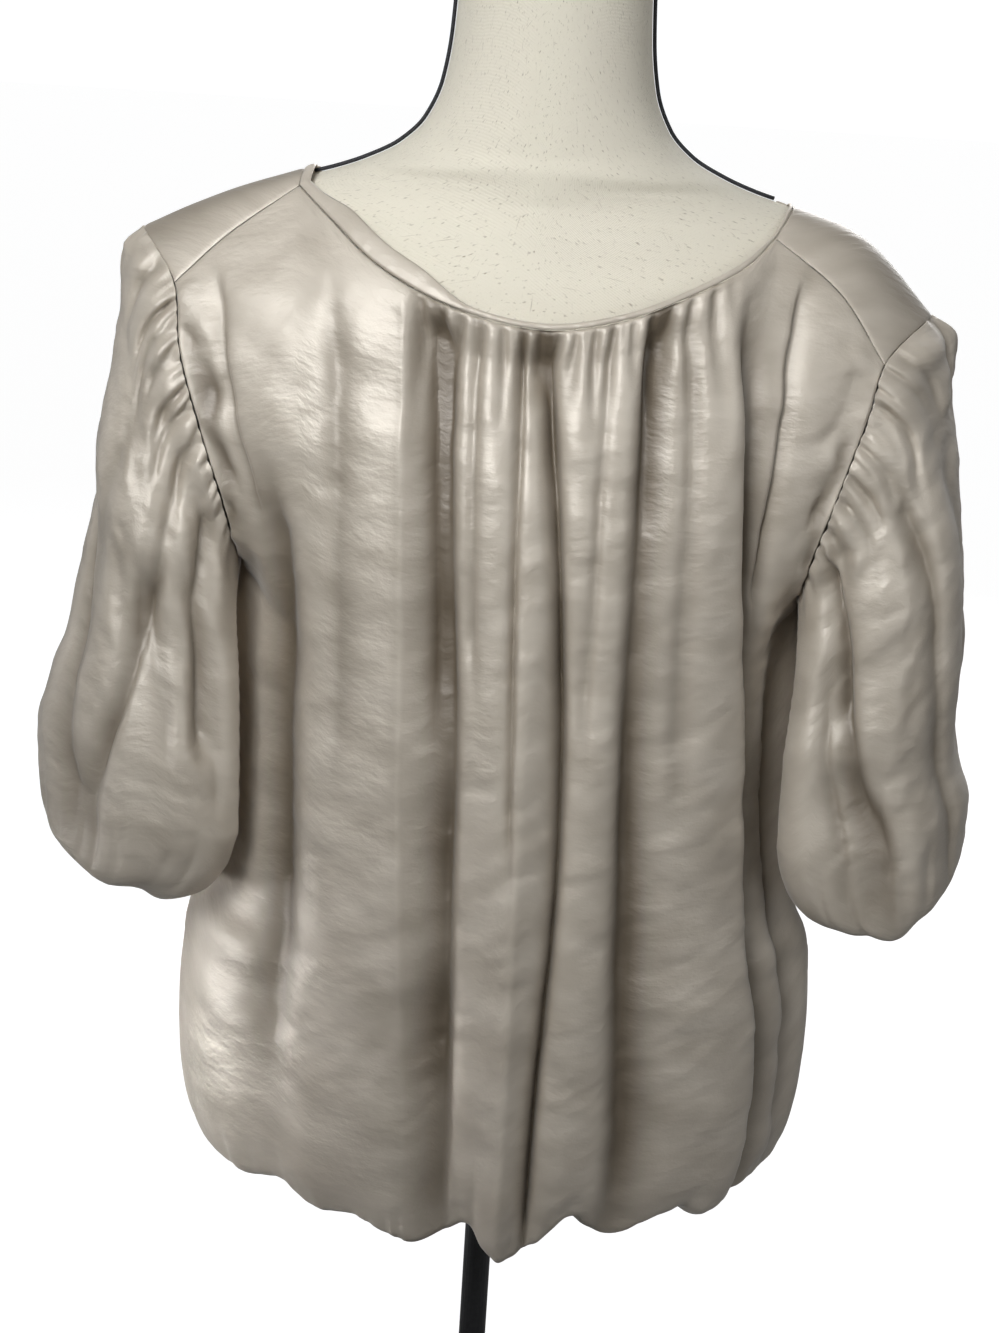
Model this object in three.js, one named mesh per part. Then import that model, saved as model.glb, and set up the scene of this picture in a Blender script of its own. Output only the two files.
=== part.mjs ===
// A loose satin blouse with a gathered scoop neck, balloon sleeves and a bubble hem, worn by a limbless
// dress form on a pole and a round base. Millimetres, +Z up, the front faces -Y, and the origin is the
// centre of the base's underside. Left and right are as seen from the front, so left is -X.
import * as THREE from "three";

// Driving dimensions of the cloth.
const CLOTH_THICKNESS = 1.2;
const BINDING_THICKNESS = 1.0;
const SEAM_GAP = 0.45;
const SLEEVE_CLEARANCE = 5;

// Driving dimensions of the stand.
const BASE_RADIUS = 145;
const BASE_THICKNESS = 12;
const POLE_RADIUS = 8.5;
const SOCKET_RADIUS = 21;
const SOCKET_HEIGHT = 34;
const PART_GAP = 0.3;

// The torso of the dress form, a row for each horizontal section: its half-width, how far it reaches
// forward and back of the pole, and the exponent of its outline, where 2 is an ellipse.
const FORM_SECTIONS = [
  { z: 312, side: 140, front: 96, back: 94, power: 2.2 },
  { z: 345, side: 143, front: 98, back: 97, power: 2.2 },
  { z: 395, side: 138, front: 94, back: 94, power: 2.2 },
  { z: 475, side: 116, front: 82, back: 82, power: 2.1 },
  { z: 555, side: 127, front: 90, back: 84, power: 2.1 },
  { z: 630, side: 143, front: 99, back: 86, power: 2.1 },
  { z: 685, side: 155, front: 92, back: 86, power: 2.1 },
  { z: 730, side: 170, front: 81, back: 81, power: 2.1 },
  { z: 762, side: 179, front: 75, back: 77, power: 2 },
  { z: 780, side: 182, front: 70, back: 73, power: 1.9 },
  { z: 795, side: 182, front: 63, back: 67, power: 1.65 },
  { z: 804, side: 179, front: 60, back: 64, power: 1.5 },
  { z: 811, side: 173, front: 57, back: 61, power: 1.45 },
  { z: 817, side: 162, front: 55, back: 59, power: 1.4 },
  { z: 821.5, side: 150, front: 54, back: 58, power: 1.4 },
  { z: 825, side: 139, front: 54, back: 58, power: 1.4 },
  { z: 828.2, side: 129, front: 54, back: 58, power: 1.45 },
  { z: 831, side: 119, front: 54, back: 58, power: 1.5 },
  { z: 838, side: 100, front: 54, back: 58, power: 1.8 },
  { z: 848, side: 81, front: 52, back: 57, power: 1.9 },
  { z: 862, side: 67, front: 51, back: 56, power: 2 },
  { z: 883, side: 58, front: 50, back: 55, power: 2 },
  { z: 910, side: 54, front: 49, back: 54, power: 2 },
  { z: 962, side: 51.5, front: 48.5, back: 52, power: 2 },
];
const FORM_COLUMNS = 28;
const NECK_CAP_HEIGHT = 9;
const PIPING_RADIUS = 1.1;
const PIPING_SIDES = 6;

// The armholes, from the shoulder point forward, down to the underarm and up the back.
const ARMHOLES = {
  left: [
    { x: -223, y: 0, z: 794 },
    { x: -199.5, y: -38, z: 768 },
    { x: -193.5, y: -54, z: 733 },
    { x: -182, y: -62, z: 697 },
    { x: -168, y: -62, z: 655 },
    { x: -162, y: -42, z: 624 },
    { x: -163, y: 0, z: 610 },
    { x: -166, y: 42, z: 626 },
    { x: -175, y: 60, z: 664 },
    { x: -187, y: 60, z: 706 },
    { x: -195, y: 52, z: 742 },
    { x: -202, y: 38, z: 770 },
  ],
  right: [
    { x: 223, y: 0, z: 771 },
    { x: 191.5, y: -50, z: 748 },
    { x: 184, y: -60, z: 720 },
    { x: 174, y: -66, z: 688 },
    { x: 163, y: -64, z: 648 },
    { x: 159, y: -42, z: 618 },
    { x: 162, y: 0, z: 604 },
    { x: 166, y: 42, z: 620 },
    { x: 175, y: 60, z: 658 },
    { x: 186, y: 61, z: 696 },
    { x: 195, y: 52, z: 730 },
    { x: 206, y: 36, z: 754 },
  ],
};
const ARMHOLE_POINTS = 12;
const FRONT_CORNER = 1;
const UNDERARM = 6;
const BACK_CORNER = 11;

// The shoulder yokes: the ridge from the neck to the shoulder point, and the seams to front and back.
const YOKES = {
  left: {
    ridge: [{ x: -134, y: 0, z: 831 }, { x: -178, y: 0, z: 815 }, { x: -223, y: 0, z: 794 }],
    front: [{ x: -135, y: -20, z: 823 }, { x: -173, y: -31, z: 794 }, { x: -199.5, y: -38, z: 768 }],
    back: [{ x: -133, y: 22, z: 823 }, { x: -172, y: 32, z: 796 }, { x: -202, y: 38, z: 770 }],
  },
  right: {
    ridge: [{ x: 139, y: 0, z: 827 }, { x: 180, y: 0, z: 811.5 }, { x: 223, y: 0, z: 771 }],
    front: [{ x: 128, y: -35, z: 811 }, { x: 165, y: -44, z: 784 }, { x: 191.5, y: -50, z: 748 }],
    back: [{ x: 138, y: 24, z: 818 }, { x: 174, y: 33, z: 792 }, { x: 206, y: 36, z: 754 }],
  },
};

// The necklines between the yokes, from left to right, where the gathered panels meet the binding.
const NECKLINES = {
  front: [
    { x: -135, y: -20, z: 823 },
    { x: -115, y: -44, z: 808 },
    { x: -85, y: -69, z: 786 },
    { x: -42, y: -87, z: 768 },
    { x: 5, y: -92, z: 760.5 },
    { x: 48, y: -88, z: 768 },
    { x: 85, y: -76, z: 783 },
    { x: 112, y: -57, z: 797 },
    { x: 128, y: -35, z: 811 },
  ],
  back: [
    { x: -133, y: 22, z: 823 },
    { x: -112, y: 42, z: 818 },
    { x: -82, y: 60, z: 812 },
    { x: -42, y: 72, z: 807 },
    { x: 2, y: 76, z: 805 },
    { x: 46, y: 72, z: 806 },
    { x: 86, y: 60, z: 810 },
    { x: 116, y: 43, z: 814 },
    { x: 138, y: 24, z: 818 },
  ],
};

// How far the body of the blouse reaches forward and back at each height before its folds, and the half-width
// of the ellipse that its front and back follow.
const BODY_REACH = [
  { z: 830, front: 34, back: 58, side: 232 },
  { z: 800, front: 62, back: 79, side: 228 },
  { z: 780, front: 79, back: 88, side: 224 },
  { z: 760, front: 93, back: 97, side: 218 },
  { z: 730, front: 106, back: 106, side: 209 },
  { z: 690, front: 116, back: 112, side: 200 },
  { z: 640, front: 122, back: 116, side: 190 },
  { z: 580, front: 126, back: 118, side: 181 },
  { z: 480, front: 129, back: 119, side: 177 },
  { z: 430, front: 130, back: 120, side: 179 },
  { z: 385, front: 131, back: 121, side: 191 },
  { z: 330, front: 131, back: 121, side: 195 },
  { z: 200, front: 131, back: 121, side: 195 },
];
const SIDE_SEAM = [
  { z: 610, reach: 163 },
  { z: 590, reach: 165 },
  { z: 540, reach: 168 },
  { z: 490, reach: 171 },
  { z: 440, reach: 174 },
  { z: 415, reach: 179 },
  { z: 398, reach: 187 },
  { z: 382, reach: 191 },
  { z: 330, reach: 194 },
  { z: 200, reach: 194 },
];

// The bubble hem: the cloth turns under and runs up to a level band. In is the share of the way from the
// widest ring to the band, and rise is the height above the hem's lowest line.
const HEM_BAND = { side: 150, front: 95, back: 89, height: 15, foot: 268 };
const HEM_TURN = [
  { in: 0, rise: 76 },
  { in: 0.05, rise: 44 },
  { in: 0.2, rise: 17 },
  { in: 0.45, rise: 3 },
  { in: 0.72, rise: 1 },
  { in: 1, rise: 31 },
];

// Rows of the body panels: steps along the armhole from the yoke to the underarm, in sleeve columns, then
// shares of the side seam down to where the hem starts to turn. Middle fall is how far down the middle of a
// panel has come when its edge is at the underarm.
const ARMHOLE_STEPS = [0, 1, 3, 5, 7, 9, 11, 13, 15];
const STEPS_TO_UNDERARM = 15;
const MIDDLE_FALL = 0.5;
const SIDE_SHARES = [0.08, 0.24, 0.45, 0.66, 0.85];

// The lowest line of the hem, a row for each lobe and each notch, by x.
const HEM_LINES = {
  front: [
    { x: -194, z: 240 },
    { x: -160, z: 240 },
    { x: -134, z: 247 },
    { x: -105, z: 236 },
    { x: -85, z: 239 },
    { x: -63, z: 231 },
    { x: -44, z: 226 },
    { x: -23, z: 236 },
    { x: -9, z: 243 },
    { x: 2, z: 228 },
    { x: 14, z: 219 },
    { x: 35, z: 229 },
    { x: 58, z: 249 },
    { x: 69, z: 241 },
    { x: 87, z: 233 },
    { x: 114, z: 242 },
    { x: 132, z: 245 },
    { x: 148, z: 235 },
    { x: 168, z: 240 },
    { x: 194, z: 241 },
  ],
  back: [
    { x: -194, z: 240 },
    { x: -150, z: 233 },
    { x: -122, z: 244 },
    { x: -90, z: 229 },
    { x: -60, z: 242 },
    { x: -28, z: 226 },
    { x: 4, z: 240 },
    { x: 38, z: 224 },
    { x: 70, z: 241 },
    { x: 104, z: 231 },
    { x: 132, z: 244 },
    { x: 158, z: 234 },
    { x: 194, z: 241 },
  ],
};

// Where lines down a panel that start at an x under the neck end at the hem.
const PANEL_DRIFT = {
  front: [
    { top: -200, foot: -194 },
    { top: -120, foot: -112 },
    { top: -70, foot: -50 },
    { top: -34, foot: -9 },
    { top: 14, foot: 25 },
    { top: 62, foot: 61 },
    { top: 116, foot: 154 },
    { top: 150, foot: 174 },
    { top: 200, foot: 194 },
  ],
  back: [
    { top: -202, foot: -194 },
    { top: -70, foot: -74 },
    { top: 0, foot: 3 },
    { top: 70, foot: 76 },
    { top: 206, foot: 194 },
  ],
};

// The long folds of the body, a row for each valley: the x of its floor under the neck, the widths of its left
// and right flanks, its depth, the height where it starts and the share of that depth left at the hem.
const BODY_FOLDS = {
  front: [
    { x: -168, left: 8, right: 10, depth: 9, from: 560, hem: 0.8 },
    { x: -128, left: 14, right: 14, depth: 3, from: 700, hem: 0.8 },
    { x: -92, left: 12, right: 14, depth: 3, from: 740, hem: 0.7 },
    { x: -58, left: 4, right: 5, depth: 5, from: 800, hem: 0.2 },
    { x: -43, left: 14, right: 6, depth: 15, from: 790, hem: 0.8 },
    { x: -6, left: 4, right: 6, depth: 5, from: 800, hem: 0 },
    { x: 18, left: 5, right: 5.5, depth: 17, from: 790, hem: 0.95 },
    { x: 42, left: 5, right: 5, depth: 3, from: 760, hem: 0.6 },
    { x: 63, left: 6, right: 5, depth: 12, from: 790, hem: 0.35 },
    { x: 92, left: 8, right: 8, depth: 2.5, from: 740, hem: 0.3 },
    { x: 124, left: 5, right: 7, depth: 14, from: 730, hem: 0.85 },
    { x: 142, left: 4, right: 5, depth: 6, from: 780, hem: 0.5 },
    { x: 170, left: 6, right: 9, depth: 8, from: 600, hem: 0.7 },
  ],
  back: [
    { x: -168, left: 9, right: 9, depth: 9, from: 640, hem: 0.8 },
    { x: -128, left: 10, right: 9, depth: 7, from: 720, hem: 0.7 },
    { x: -92, left: 9, right: 12, depth: 9, from: 760, hem: 0.8 },
    { x: -56, left: 6, right: 10, depth: 13, from: 812, hem: 0.8 },
    { x: -20, left: 8, right: 6, depth: 14, from: 812, hem: 0.9 },
    { x: 20, left: 7, right: 11, depth: 12, from: 812, hem: 0.7 },
    { x: 54, left: 6, right: 7, depth: 14, from: 812, hem: 0.9 },
    { x: 92, left: 12, right: 8, depth: 9, from: 760, hem: 0.7 },
    { x: 128, left: 9, right: 9, depth: 8, from: 720, hem: 0.6 },
    { x: 168, left: 9, right: 8, depth: 9, from: 640, hem: 0.8 },
  ],
};

// The short gathers under the neck binding, by the x of each valley at the seam.
const GATHERS = {
  front: [-63, -51, -40, -28, -17, -7, 3, 13, 22, 32, 42, 52, 62, 72, 83, 95],
  back: [-66, -54, -42, -31, -20, -9, 2, 13, 24, 35, 46, 58, 70],
};
const GATHER_DEPTH = 4.6;
const GATHER_WIDTH = 3.2;
const GATHER_LENGTH = 90;

// Columns across a panel: over each yoke seam, and from there to the gathers, where each gather adds its own.
const PANEL_COLUMNS = {
  front: { yoke: 4, plain: 4 },
  back: { yoke: 4, plain: 4 },
};
const YOKE_ROWS = 3;

// The sleeves, a row for each height: outer and inner reach from the pole, front and back reach.
const SLEEVES = {
  left: {
    rings: [
      { z: 794, outer: 226, inner: 200, front: 22, back: 22 },
      { z: 780, outer: 234, inner: 196, front: 42, back: 42 },
      { z: 750, outer: 240, inner: 190, front: 60, back: 60 },
      { z: 697, outer: 247, inner: 178, front: 72, back: 70 },
      { z: 644, outer: 253, inner: 170, front: 78, back: 76 },
      { z: 600, outer: 261, inner: 160, front: 82, back: 78 },
      { z: 565, outer: 267, inner: 150, front: 86, back: 80 },
      { z: 543, outer: 275, inner: 145, front: 89, back: 81 },
      { z: 500, outer: 285, inner: 140, front: 92, back: 82 },
      { z: 450, outer: 281, inner: 138, front: 93, back: 81 },
      { z: 380, outer: 276, inner: 138, front: 93, back: 81 },
    ],
    low: { level: 403, outer: 54, inner: 16 },
    cuff: { x: 234, y: -8, side: 34, depth: 52 },
    folds: [
      { at: -28, width: 9, depth: 6, from: 0, to: 1 },
      { at: -62, width: 8, depth: 8, from: 0.35, to: 1 },
      { at: -93, width: 8, depth: 10, from: 0, to: 1 },
      { at: -121, width: 9, depth: 12, from: 0.05, to: 0.75 },
      { at: -150, width: 8, depth: 6, from: 0.3, to: 1 },
      { at: 178, width: 10, depth: 4, from: 0.2, to: 0.9 },
      { at: 145, width: 9, depth: 7, from: 0.1, to: 1 },
      { at: 112, width: 9, depth: 9, from: 0, to: 1 },
      { at: 78, width: 8, depth: 8, from: 0, to: 1 },
      { at: 42, width: 9, depth: 8, from: 0.05, to: 1 },
      { at: 8, width: 8, depth: 6, from: 0.1, to: 1 },
    ],
  },
  right: {
    rings: [
      { z: 771, outer: 226, inner: 200, front: 24, back: 24 },
      { z: 762, outer: 233, inner: 196, front: 40, back: 40 },
      { z: 746, outer: 241, inner: 190, front: 56, back: 54 },
      { z: 720, outer: 247, inner: 184, front: 66, back: 64 },
      { z: 675, outer: 254, inner: 172, front: 75, back: 72 },
      { z: 632, outer: 260, inner: 168, front: 80, back: 76 },
      { z: 590, outer: 266, inner: 158, front: 84, back: 79 },
      { z: 548, outer: 268, inner: 151, front: 88, back: 81 },
      { z: 520, outer: 271, inner: 147, front: 90, back: 82 },
      { z: 480, outer: 282, inner: 146, front: 92, back: 82 },
      { z: 380, outer: 283, inner: 146, front: 92, back: 81 },
    ],
    low: { level: 403, outer: 44, inner: 15 },
    cuff: { x: 232, y: -8, side: 33, depth: 52 },
    folds: [
      { at: -22, width: 8, depth: 5, from: 0.1, to: 0.8 },
      { at: -50, width: 8, depth: 8, from: 0, to: 0.9 },
      { at: -86, width: 8, depth: 13, from: 0, to: 1 },
      { at: -122, width: 9, depth: 6, from: 0.05, to: 0.9 },
      { at: -152, width: 8, depth: 6, from: 0.3, to: 1 },
      { at: 176, width: 10, depth: 4, from: 0.2, to: 0.9 },
      { at: 148, width: 9, depth: 7, from: 0.1, to: 1 },
      { at: 114, width: 9, depth: 9, from: 0, to: 1 },
      { at: 80, width: 8, depth: 8, from: 0, to: 1 },
      { at: 46, width: 9, depth: 8, from: 0.05, to: 1 },
      { at: 12, width: 8, depth: 5, from: 0.1, to: 0.8 },
    ],
  },
};
const SLEEVE_COLUMNS = 36;
const SLEEVE_INNER_POWER = 0.72;
const SLEEVE_SHARES = [0, 0.03, 0.09, 0.19, 0.33, 0.5, 0.67, 0.84];
const SLEEVE_TURN = [
  { in: 0, rise: 46 },
  { in: 0.12, rise: 24 },
  { in: 0.38, rise: 6 },
  { in: 0.66, rise: 0 },
  { in: 0.9, rise: 9 },
  { in: 1, rise: 28 },
];
const CAP_PUFF = 5;
const CUFF_BAND = { height: 14, rise: 28.4 };

const CHAMPAGNE = 0xb4a797;

// Small helpers.
const mix = THREE.MathUtils.lerp;
const clamp01 = (value) => THREE.MathUtils.clamp(value, 0, 1);
const smooth = (value) => THREE.MathUtils.smootherstep(value, 0, 1);
const vector = (p) => new THREE.Vector3(p.x, p.y, p.z);

// A smooth curve that never overshoots through a table's rows, as a function of the key column.
function tableCurve(rows, key, field) {
  const sorted = [...rows].sort((a, b) => a[key] - b[key]);
  const keys = sorted.map((row) => row[key]);
  const values = sorted.map((row) => row[field]);
  const last = keys.length - 1;
  const slopes = keys.slice(1).map((k, i) => (values[i + 1] - values[i]) / (k - keys[i]));
  const tangents = keys.map((_, i) => {
    if (i === 0) return slopes[0];
    if (i === last) return slopes[last - 1];
    const [before, after] = [slopes[i - 1], slopes[i]];
    return before * after <= 0 ? 0 : (2 * before * after) / (before + after);
  });
  return (value) => {
    const at = THREE.MathUtils.clamp(value, keys[0], keys[last]);
    const i = Math.min(last - 1, keys.findLastIndex((k) => k <= at));
    const step = keys[i + 1] - keys[i];
    const u = (at - keys[i]) / step;
    const [a, b] = [values[i], values[i + 1]];
    const [ta, tb] = [tangents[i] * step, tangents[i + 1] * step];
    const bend = u * u * (3 - 2 * u);
    return mix(a, b, bend) + u * (1 - u) * ((1 - u) * ta - u * tb);
  };
}

// Outward directions at the points of a grid, from its rows down and its columns across.
function gridNormals(grid, ring, outside) {
  const rows = grid.length;
  const columns = grid[0].length;
  const normals = grid.map((row, r) =>
    row.map((_, c) => {
      const left = ring ? (c + columns - 1) % columns : Math.max(c - 1, 0);
      const right = ring ? (c + 1) % columns : Math.min(c + 1, columns - 1);
      const across = grid[r][right].clone().sub(grid[r][left]);
      const down = grid[Math.min(r + 1, rows - 1)][c].clone().sub(grid[Math.max(r - 1, 0)][c]);
      return across.cross(down).normalize();
    }),
  );
  const [r, c] = [Math.floor(rows / 3), Math.floor(columns / 2)];
  const flip = normals[r][c].dot(outside(grid[r][c])) < 0;
  if (flip) normals.forEach((row) => row.forEach((normal) => normal.negate()));
  return normals;
}

// A closed mesh between an outer and an inner grid of points.
function wallBetween(outer, inner, ring) {
  const columns = outer[0].length;
  const spans = ring ? columns : columns - 1;
  const lastRow = outer.length - 1;
  const corners = [];
  const quad = (a, b, c, d) => corners.push(a, b, c, a, c, d);
  const at = (grid, r, c) => grid[r][c % columns];
  for (let c = 0; c < spans; c += 1) {
    for (let r = 0; r < lastRow; r += 1) {
      quad(at(outer, r, c), at(outer, r + 1, c), at(outer, r + 1, c + 1), at(outer, r, c + 1));
      quad(at(inner, r, c), at(inner, r, c + 1), at(inner, r + 1, c + 1), at(inner, r + 1, c));
    }
    quad(at(outer, 0, c), at(outer, 0, c + 1), at(inner, 0, c + 1), at(inner, 0, c));
    quad(at(outer, lastRow, c), at(inner, lastRow, c), at(inner, lastRow, c + 1), at(outer, lastRow, c + 1));
  }
  if (!ring) {
    for (let r = 0; r < lastRow; r += 1) {
      quad(outer[r][0], inner[r][0], inner[r + 1][0], outer[r + 1][0]);
      quad(outer[r][spans], outer[r + 1][spans], inner[r + 1][spans], inner[r][spans]);
    }
  }
  return facingOut(corners);
}

// A closed mesh through rings of points, with a flat fan over each end.
function closedTube(rings) {
  const count = rings[0].length;
  const corners = [];
  const fan = (ring) => {
    const middle = ring.reduce((sum, p) => sum.add(p), new THREE.Vector3()).divideScalar(count);
    return ring.flatMap((point, c) => [middle, point, ring[(c + 1) % count]]);
  };
  corners.push(...fan([...rings[0]].reverse()), ...fan(rings[rings.length - 1]));
  for (let r = 0; r < rings.length - 1; r += 1) {
    for (let c = 0; c < count; c += 1) {
      const next = (c + 1) % count;
      corners.push(rings[r][c], rings[r][next], rings[r + 1][next]);
      corners.push(rings[r][c], rings[r + 1][next], rings[r + 1][c]);
    }
  }
  return facingOut(corners);
}

// Triangles, three points each, as a geometry whose faces point out of the solid they close.
function facingOut(corners) {
  let volume = 0;
  for (let i = 0; i < corners.length; i += 3) {
    volume += corners[i].dot(corners[i + 1].clone().cross(corners[i + 2]));
  }
  if (volume < 0) {
    for (let i = 0; i < corners.length; i += 3) {
      [corners[i + 1], corners[i + 2]] = [corners[i + 2], corners[i + 1]];
    }
  }
  return new THREE.BufferGeometry().setFromPoints(corners);
}

// A cloth wall of even thickness inside a grid of outer points. A seam can give its own directions.
function clothWall(grid, { ring = false, outside, thickness = CLOTH_THICKNESS, seam = () => null }) {
  const normals = gridNormals(grid, ring, outside);
  const inner = grid.map((row, r) =>
    row.map((point, c) => {
      const direction = seam(r, c, normals[r][c]) ?? normals[r][c];
      return point.clone().addScaledVector(direction, -thickness);
    }),
  );
  return wallBetween(grid, inner, ring);
}

// Moves the first or last row or column of a grid into the piece, so that two pieces part at their seam.
function drawIn(grid, edge, gap) {
  const last = grid.length - 1;
  const end = grid[0].length - 1;
  const pull = (point, next) => point.addScaledVector(next.clone().sub(point).normalize(), gap);
  if (edge === "top") grid[0].forEach((point, c) => pull(point, grid[1][c]));
  if (edge === "bottom") grid[last].forEach((point, c) => pull(point, grid[last - 1][c]));
  if (edge === "start") grid.forEach((row) => pull(row[0], row[1]));
  if (edge === "end") grid.forEach((row) => pull(row[end], row[end - 1]));
}

// The armhole seam as a closed curve, and the point on it a number of sleeve columns from its start.
const armholeCurves = {
  left: new THREE.CatmullRomCurve3(ARMHOLES.left.map(vector), true),
  right: new THREE.CatmullRomCurve3(ARMHOLES.right.map(vector), true),
};
const armholeAt = (side, share) => armholeCurves[side].getPoint(((share % 1) + 1) % 1);

// The direction out of the cloth at the armhole seam. It is shared where the pieces meet flat at the
// shoulder. Towards the underarm the panel turns out to the side and the sleeve turns in to the body.
function armholeOutward(side, point, turn) {
  const rows = ARMHOLES[side];
  const centre = vector(rows[0]).add(vector(rows[UNDERARM])).multiplyScalar(0.5);
  const low = smooth((centre.z - point.z) / (centre.z - rows[UNDERARM].z));
  const away = point.clone().sub(centre);
  const reach = away.length();
  away.x = away.x * 0.3 + Math.sign(centre.x) * turn * low * reach * 0.6;
  return away.normalize();
}

// The way the binding rises from a point of the neck seam, and the shared direction out of the seam there.
function leanToNeck(point) {
  const outward = clamp01(Math.abs(point.x) / 134);
  const rise = 70 + 140 * (1 - outward * outward);
  return new THREE.Vector3(-point.x, -point.y * 0.95, rise).normalize();
}

function neckOutward(point) {
  const rising = leanToNeck(point);
  const radial = new THREE.Vector3(point.x * 0.45, point.y, 0);
  return radial.addScaledVector(rising, -radial.dot(rising)).normalize();
}

// The dress form.
const formCurves = {
  side: tableCurve(FORM_SECTIONS, "z", "side"),
  front: tableCurve(FORM_SECTIONS, "z", "front"),
  back: tableCurve(FORM_SECTIONS, "z", "back"),
  power: tableCurve(FORM_SECTIONS, "z", "power"),
};

function formPoint(angle, z) {
  const power = 2 / formCurves.power(z);
  const across = Math.sin(angle);
  const forward = Math.cos(angle);
  const depth = forward > 0 ? -formCurves.front(z) : formCurves.back(z);
  const x = Math.sign(across) * formCurves.side(z) * Math.abs(across) ** power;
  return new THREE.Vector3(x, depth * Math.abs(forward) ** power, z);
}

const formTorso = () =>
  closedTube(
    FORM_SECTIONS.map(({ z }) =>
      Array.from({ length: FORM_COLUMNS }, (_, c) => formPoint((c / FORM_COLUMNS) * 2 * Math.PI, z)),
    ),
  );

// The corded side seam of the form, from the top of the neck over the shoulder.
function formPiping(sign) {
  const sections = FORM_SECTIONS.filter(({ z }) => z > 828 && z < 962);
  const rings = sections.map(({ z, side }, i) => {
    const next = sections[Math.min(i + 1, sections.length - 1)];
    const before = sections[Math.max(i - 1, 0)];
    const out = new THREE.Vector3(sign * (next.z - before.z), 0, before.side - next.side).normalize();
    const middle = new THREE.Vector3(sign * side, 0, z).addScaledVector(out, PIPING_RADIUS + PART_GAP);
    return Array.from({ length: PIPING_SIDES }, (_, k) => {
      const angle = (k / PIPING_SIDES) * 2 * Math.PI;
      const point = middle.clone().addScaledVector(out, PIPING_RADIUS * Math.cos(angle));
      point.y += PIPING_RADIUS * Math.sin(angle);
      return point;
    });
  });
  return closedTube(rings);
}

function turned(profile, segments) {
  const points = profile.map(([radius, height]) => new THREE.Vector2(radius, height));
  return new THREE.LatheGeometry(points, segments).rotateX(Math.PI / 2);
}

// The yokes. Across runs from the neck to the armhole, and over runs from the front seam to the back one.
const yokeCurves = Object.fromEntries(
  Object.entries(YOKES).map(([side, lines]) => [
    side,
    Object.fromEntries(
      Object.entries(lines).map(([name, rows]) => [name, new THREE.CatmullRomCurve3(rows.map(vector))]),
    ),
  ]),
);

function yokePoint(side, across, over) {
  const lines = yokeCurves[side];
  const ridge = lines.ridge.getPoint(across);
  const seam = (over < 0 ? lines.front : lines.back).getPoint(across);
  const bend = over * over;
  return new THREE.Vector3(
    mix(ridge.x, seam.x, bend),
    mix(ridge.y, seam.y, Math.abs(over)),
    mix(ridge.z, seam.z, bend),
  );
}

// The armhole's own curve replaces the yoke's outline at its outer end, and fades out towards the neck.
function fittedYokePoint(side, across, over) {
  const seamShare = -over / ARMHOLE_POINTS;
  const miss = armholeAt(side, seamShare).sub(yokePoint(side, 1, over));
  return yokePoint(side, across, over).addScaledVector(miss, across ** 3);
}

function yokeWall(side) {
  const columns = PANEL_COLUMNS.front.yoke;
  const grid = Array.from({ length: 2 * YOKE_ROWS + 1 }, (_, r) =>
    Array.from({ length: columns + 1 }, (__, c) =>
      fittedYokePoint(side, c / columns, -(r / YOKE_ROWS - 1)),
    ),
  );
  const seamDirections = grid.map((row) => armholeOutward(side, row[columns], 0));
  const neckDirections = grid.map((row) => neckOutward(row[0]));
  ["top", "bottom", "start", "end"].forEach((edge) => drawIn(grid, edge, SEAM_GAP / 2));
  return clothWall(grid, {
    outside: () => new THREE.Vector3(0, 0, 1),
    seam: (r, c) => {
      if (c === columns) return seamDirections[r];
      return c === 0 ? neckDirections[r] : null;
    },
  });
}

// The panels of the body. At runs from -1 at the left edge to 1 at the right edge.
const bodyReach = {
  front: tableCurve(BODY_REACH, "z", "front"),
  back: tableCurve(BODY_REACH, "z", "back"),
};
const sideReach = tableCurve(SIDE_SEAM, "z", "reach");
const sectionSide = tableCurve(BODY_REACH, "z", "side");
const hemLine = {
  front: tableCurve(HEM_LINES.front, "x", "z"),
  back: tableCurve(HEM_LINES.back, "x", "z"),
};
const footOf = {
  front: tableCurve(PANEL_DRIFT.front, "top", "foot"),
  back: tableCurve(PANEL_DRIFT.back, "top", "foot"),
};
const necklineCurves = {
  front: new THREE.CatmullRomCurve3(NECKLINES.front.map(vector)),
  back: new THREE.CatmullRomCurve3(NECKLINES.back.map(vector)),
};
const facing = { front: -1, back: 1 };

// The outermost column of a panel: down the armhole, then down the side seam.
function edgePoint(panel, side, row) {
  if (row.step !== undefined) {
    const corner = panel === "front" ? FRONT_CORNER : BACK_CORNER;
    const share = mix(corner, UNDERARM, row.step / STEPS_TO_UNDERARM) / ARMHOLE_POINTS;
    return armholeAt(side, share);
  }
  const top = ARMHOLES[side][UNDERARM].z;
  const sign = side === "left" ? -1 : 1;
  const end = hemLine[panel](sign * sideReach(0)) + HEM_TURN[0].rise;
  const z = mix(top, end, row.share);
  return new THREE.Vector3(sign * sideReach(z), 0, z);
}

// A valley that is narrow at its floor and eases out into the ridges on either side, from 1 to 0.
const valley = (distance, width) => 1 / (1 + (distance / width) ** 4) ** 0.75;

// How far the folds draw a point of the body inwards, by the x of its column under the neck.
function foldDepth(panel, x, z) {
  return BODY_FOLDS[panel].reduce((depth, fold) => {
    const starts = smooth((fold.from - z) / 110);
    const ends = mix(1, fold.hem, smooth((430 - z) / 170));
    const away = x - fold.x;
    return depth + fold.depth * valley(away, away < 0 ? fold.left : fold.right) * starts * ends;
  }, 0);
}

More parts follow.
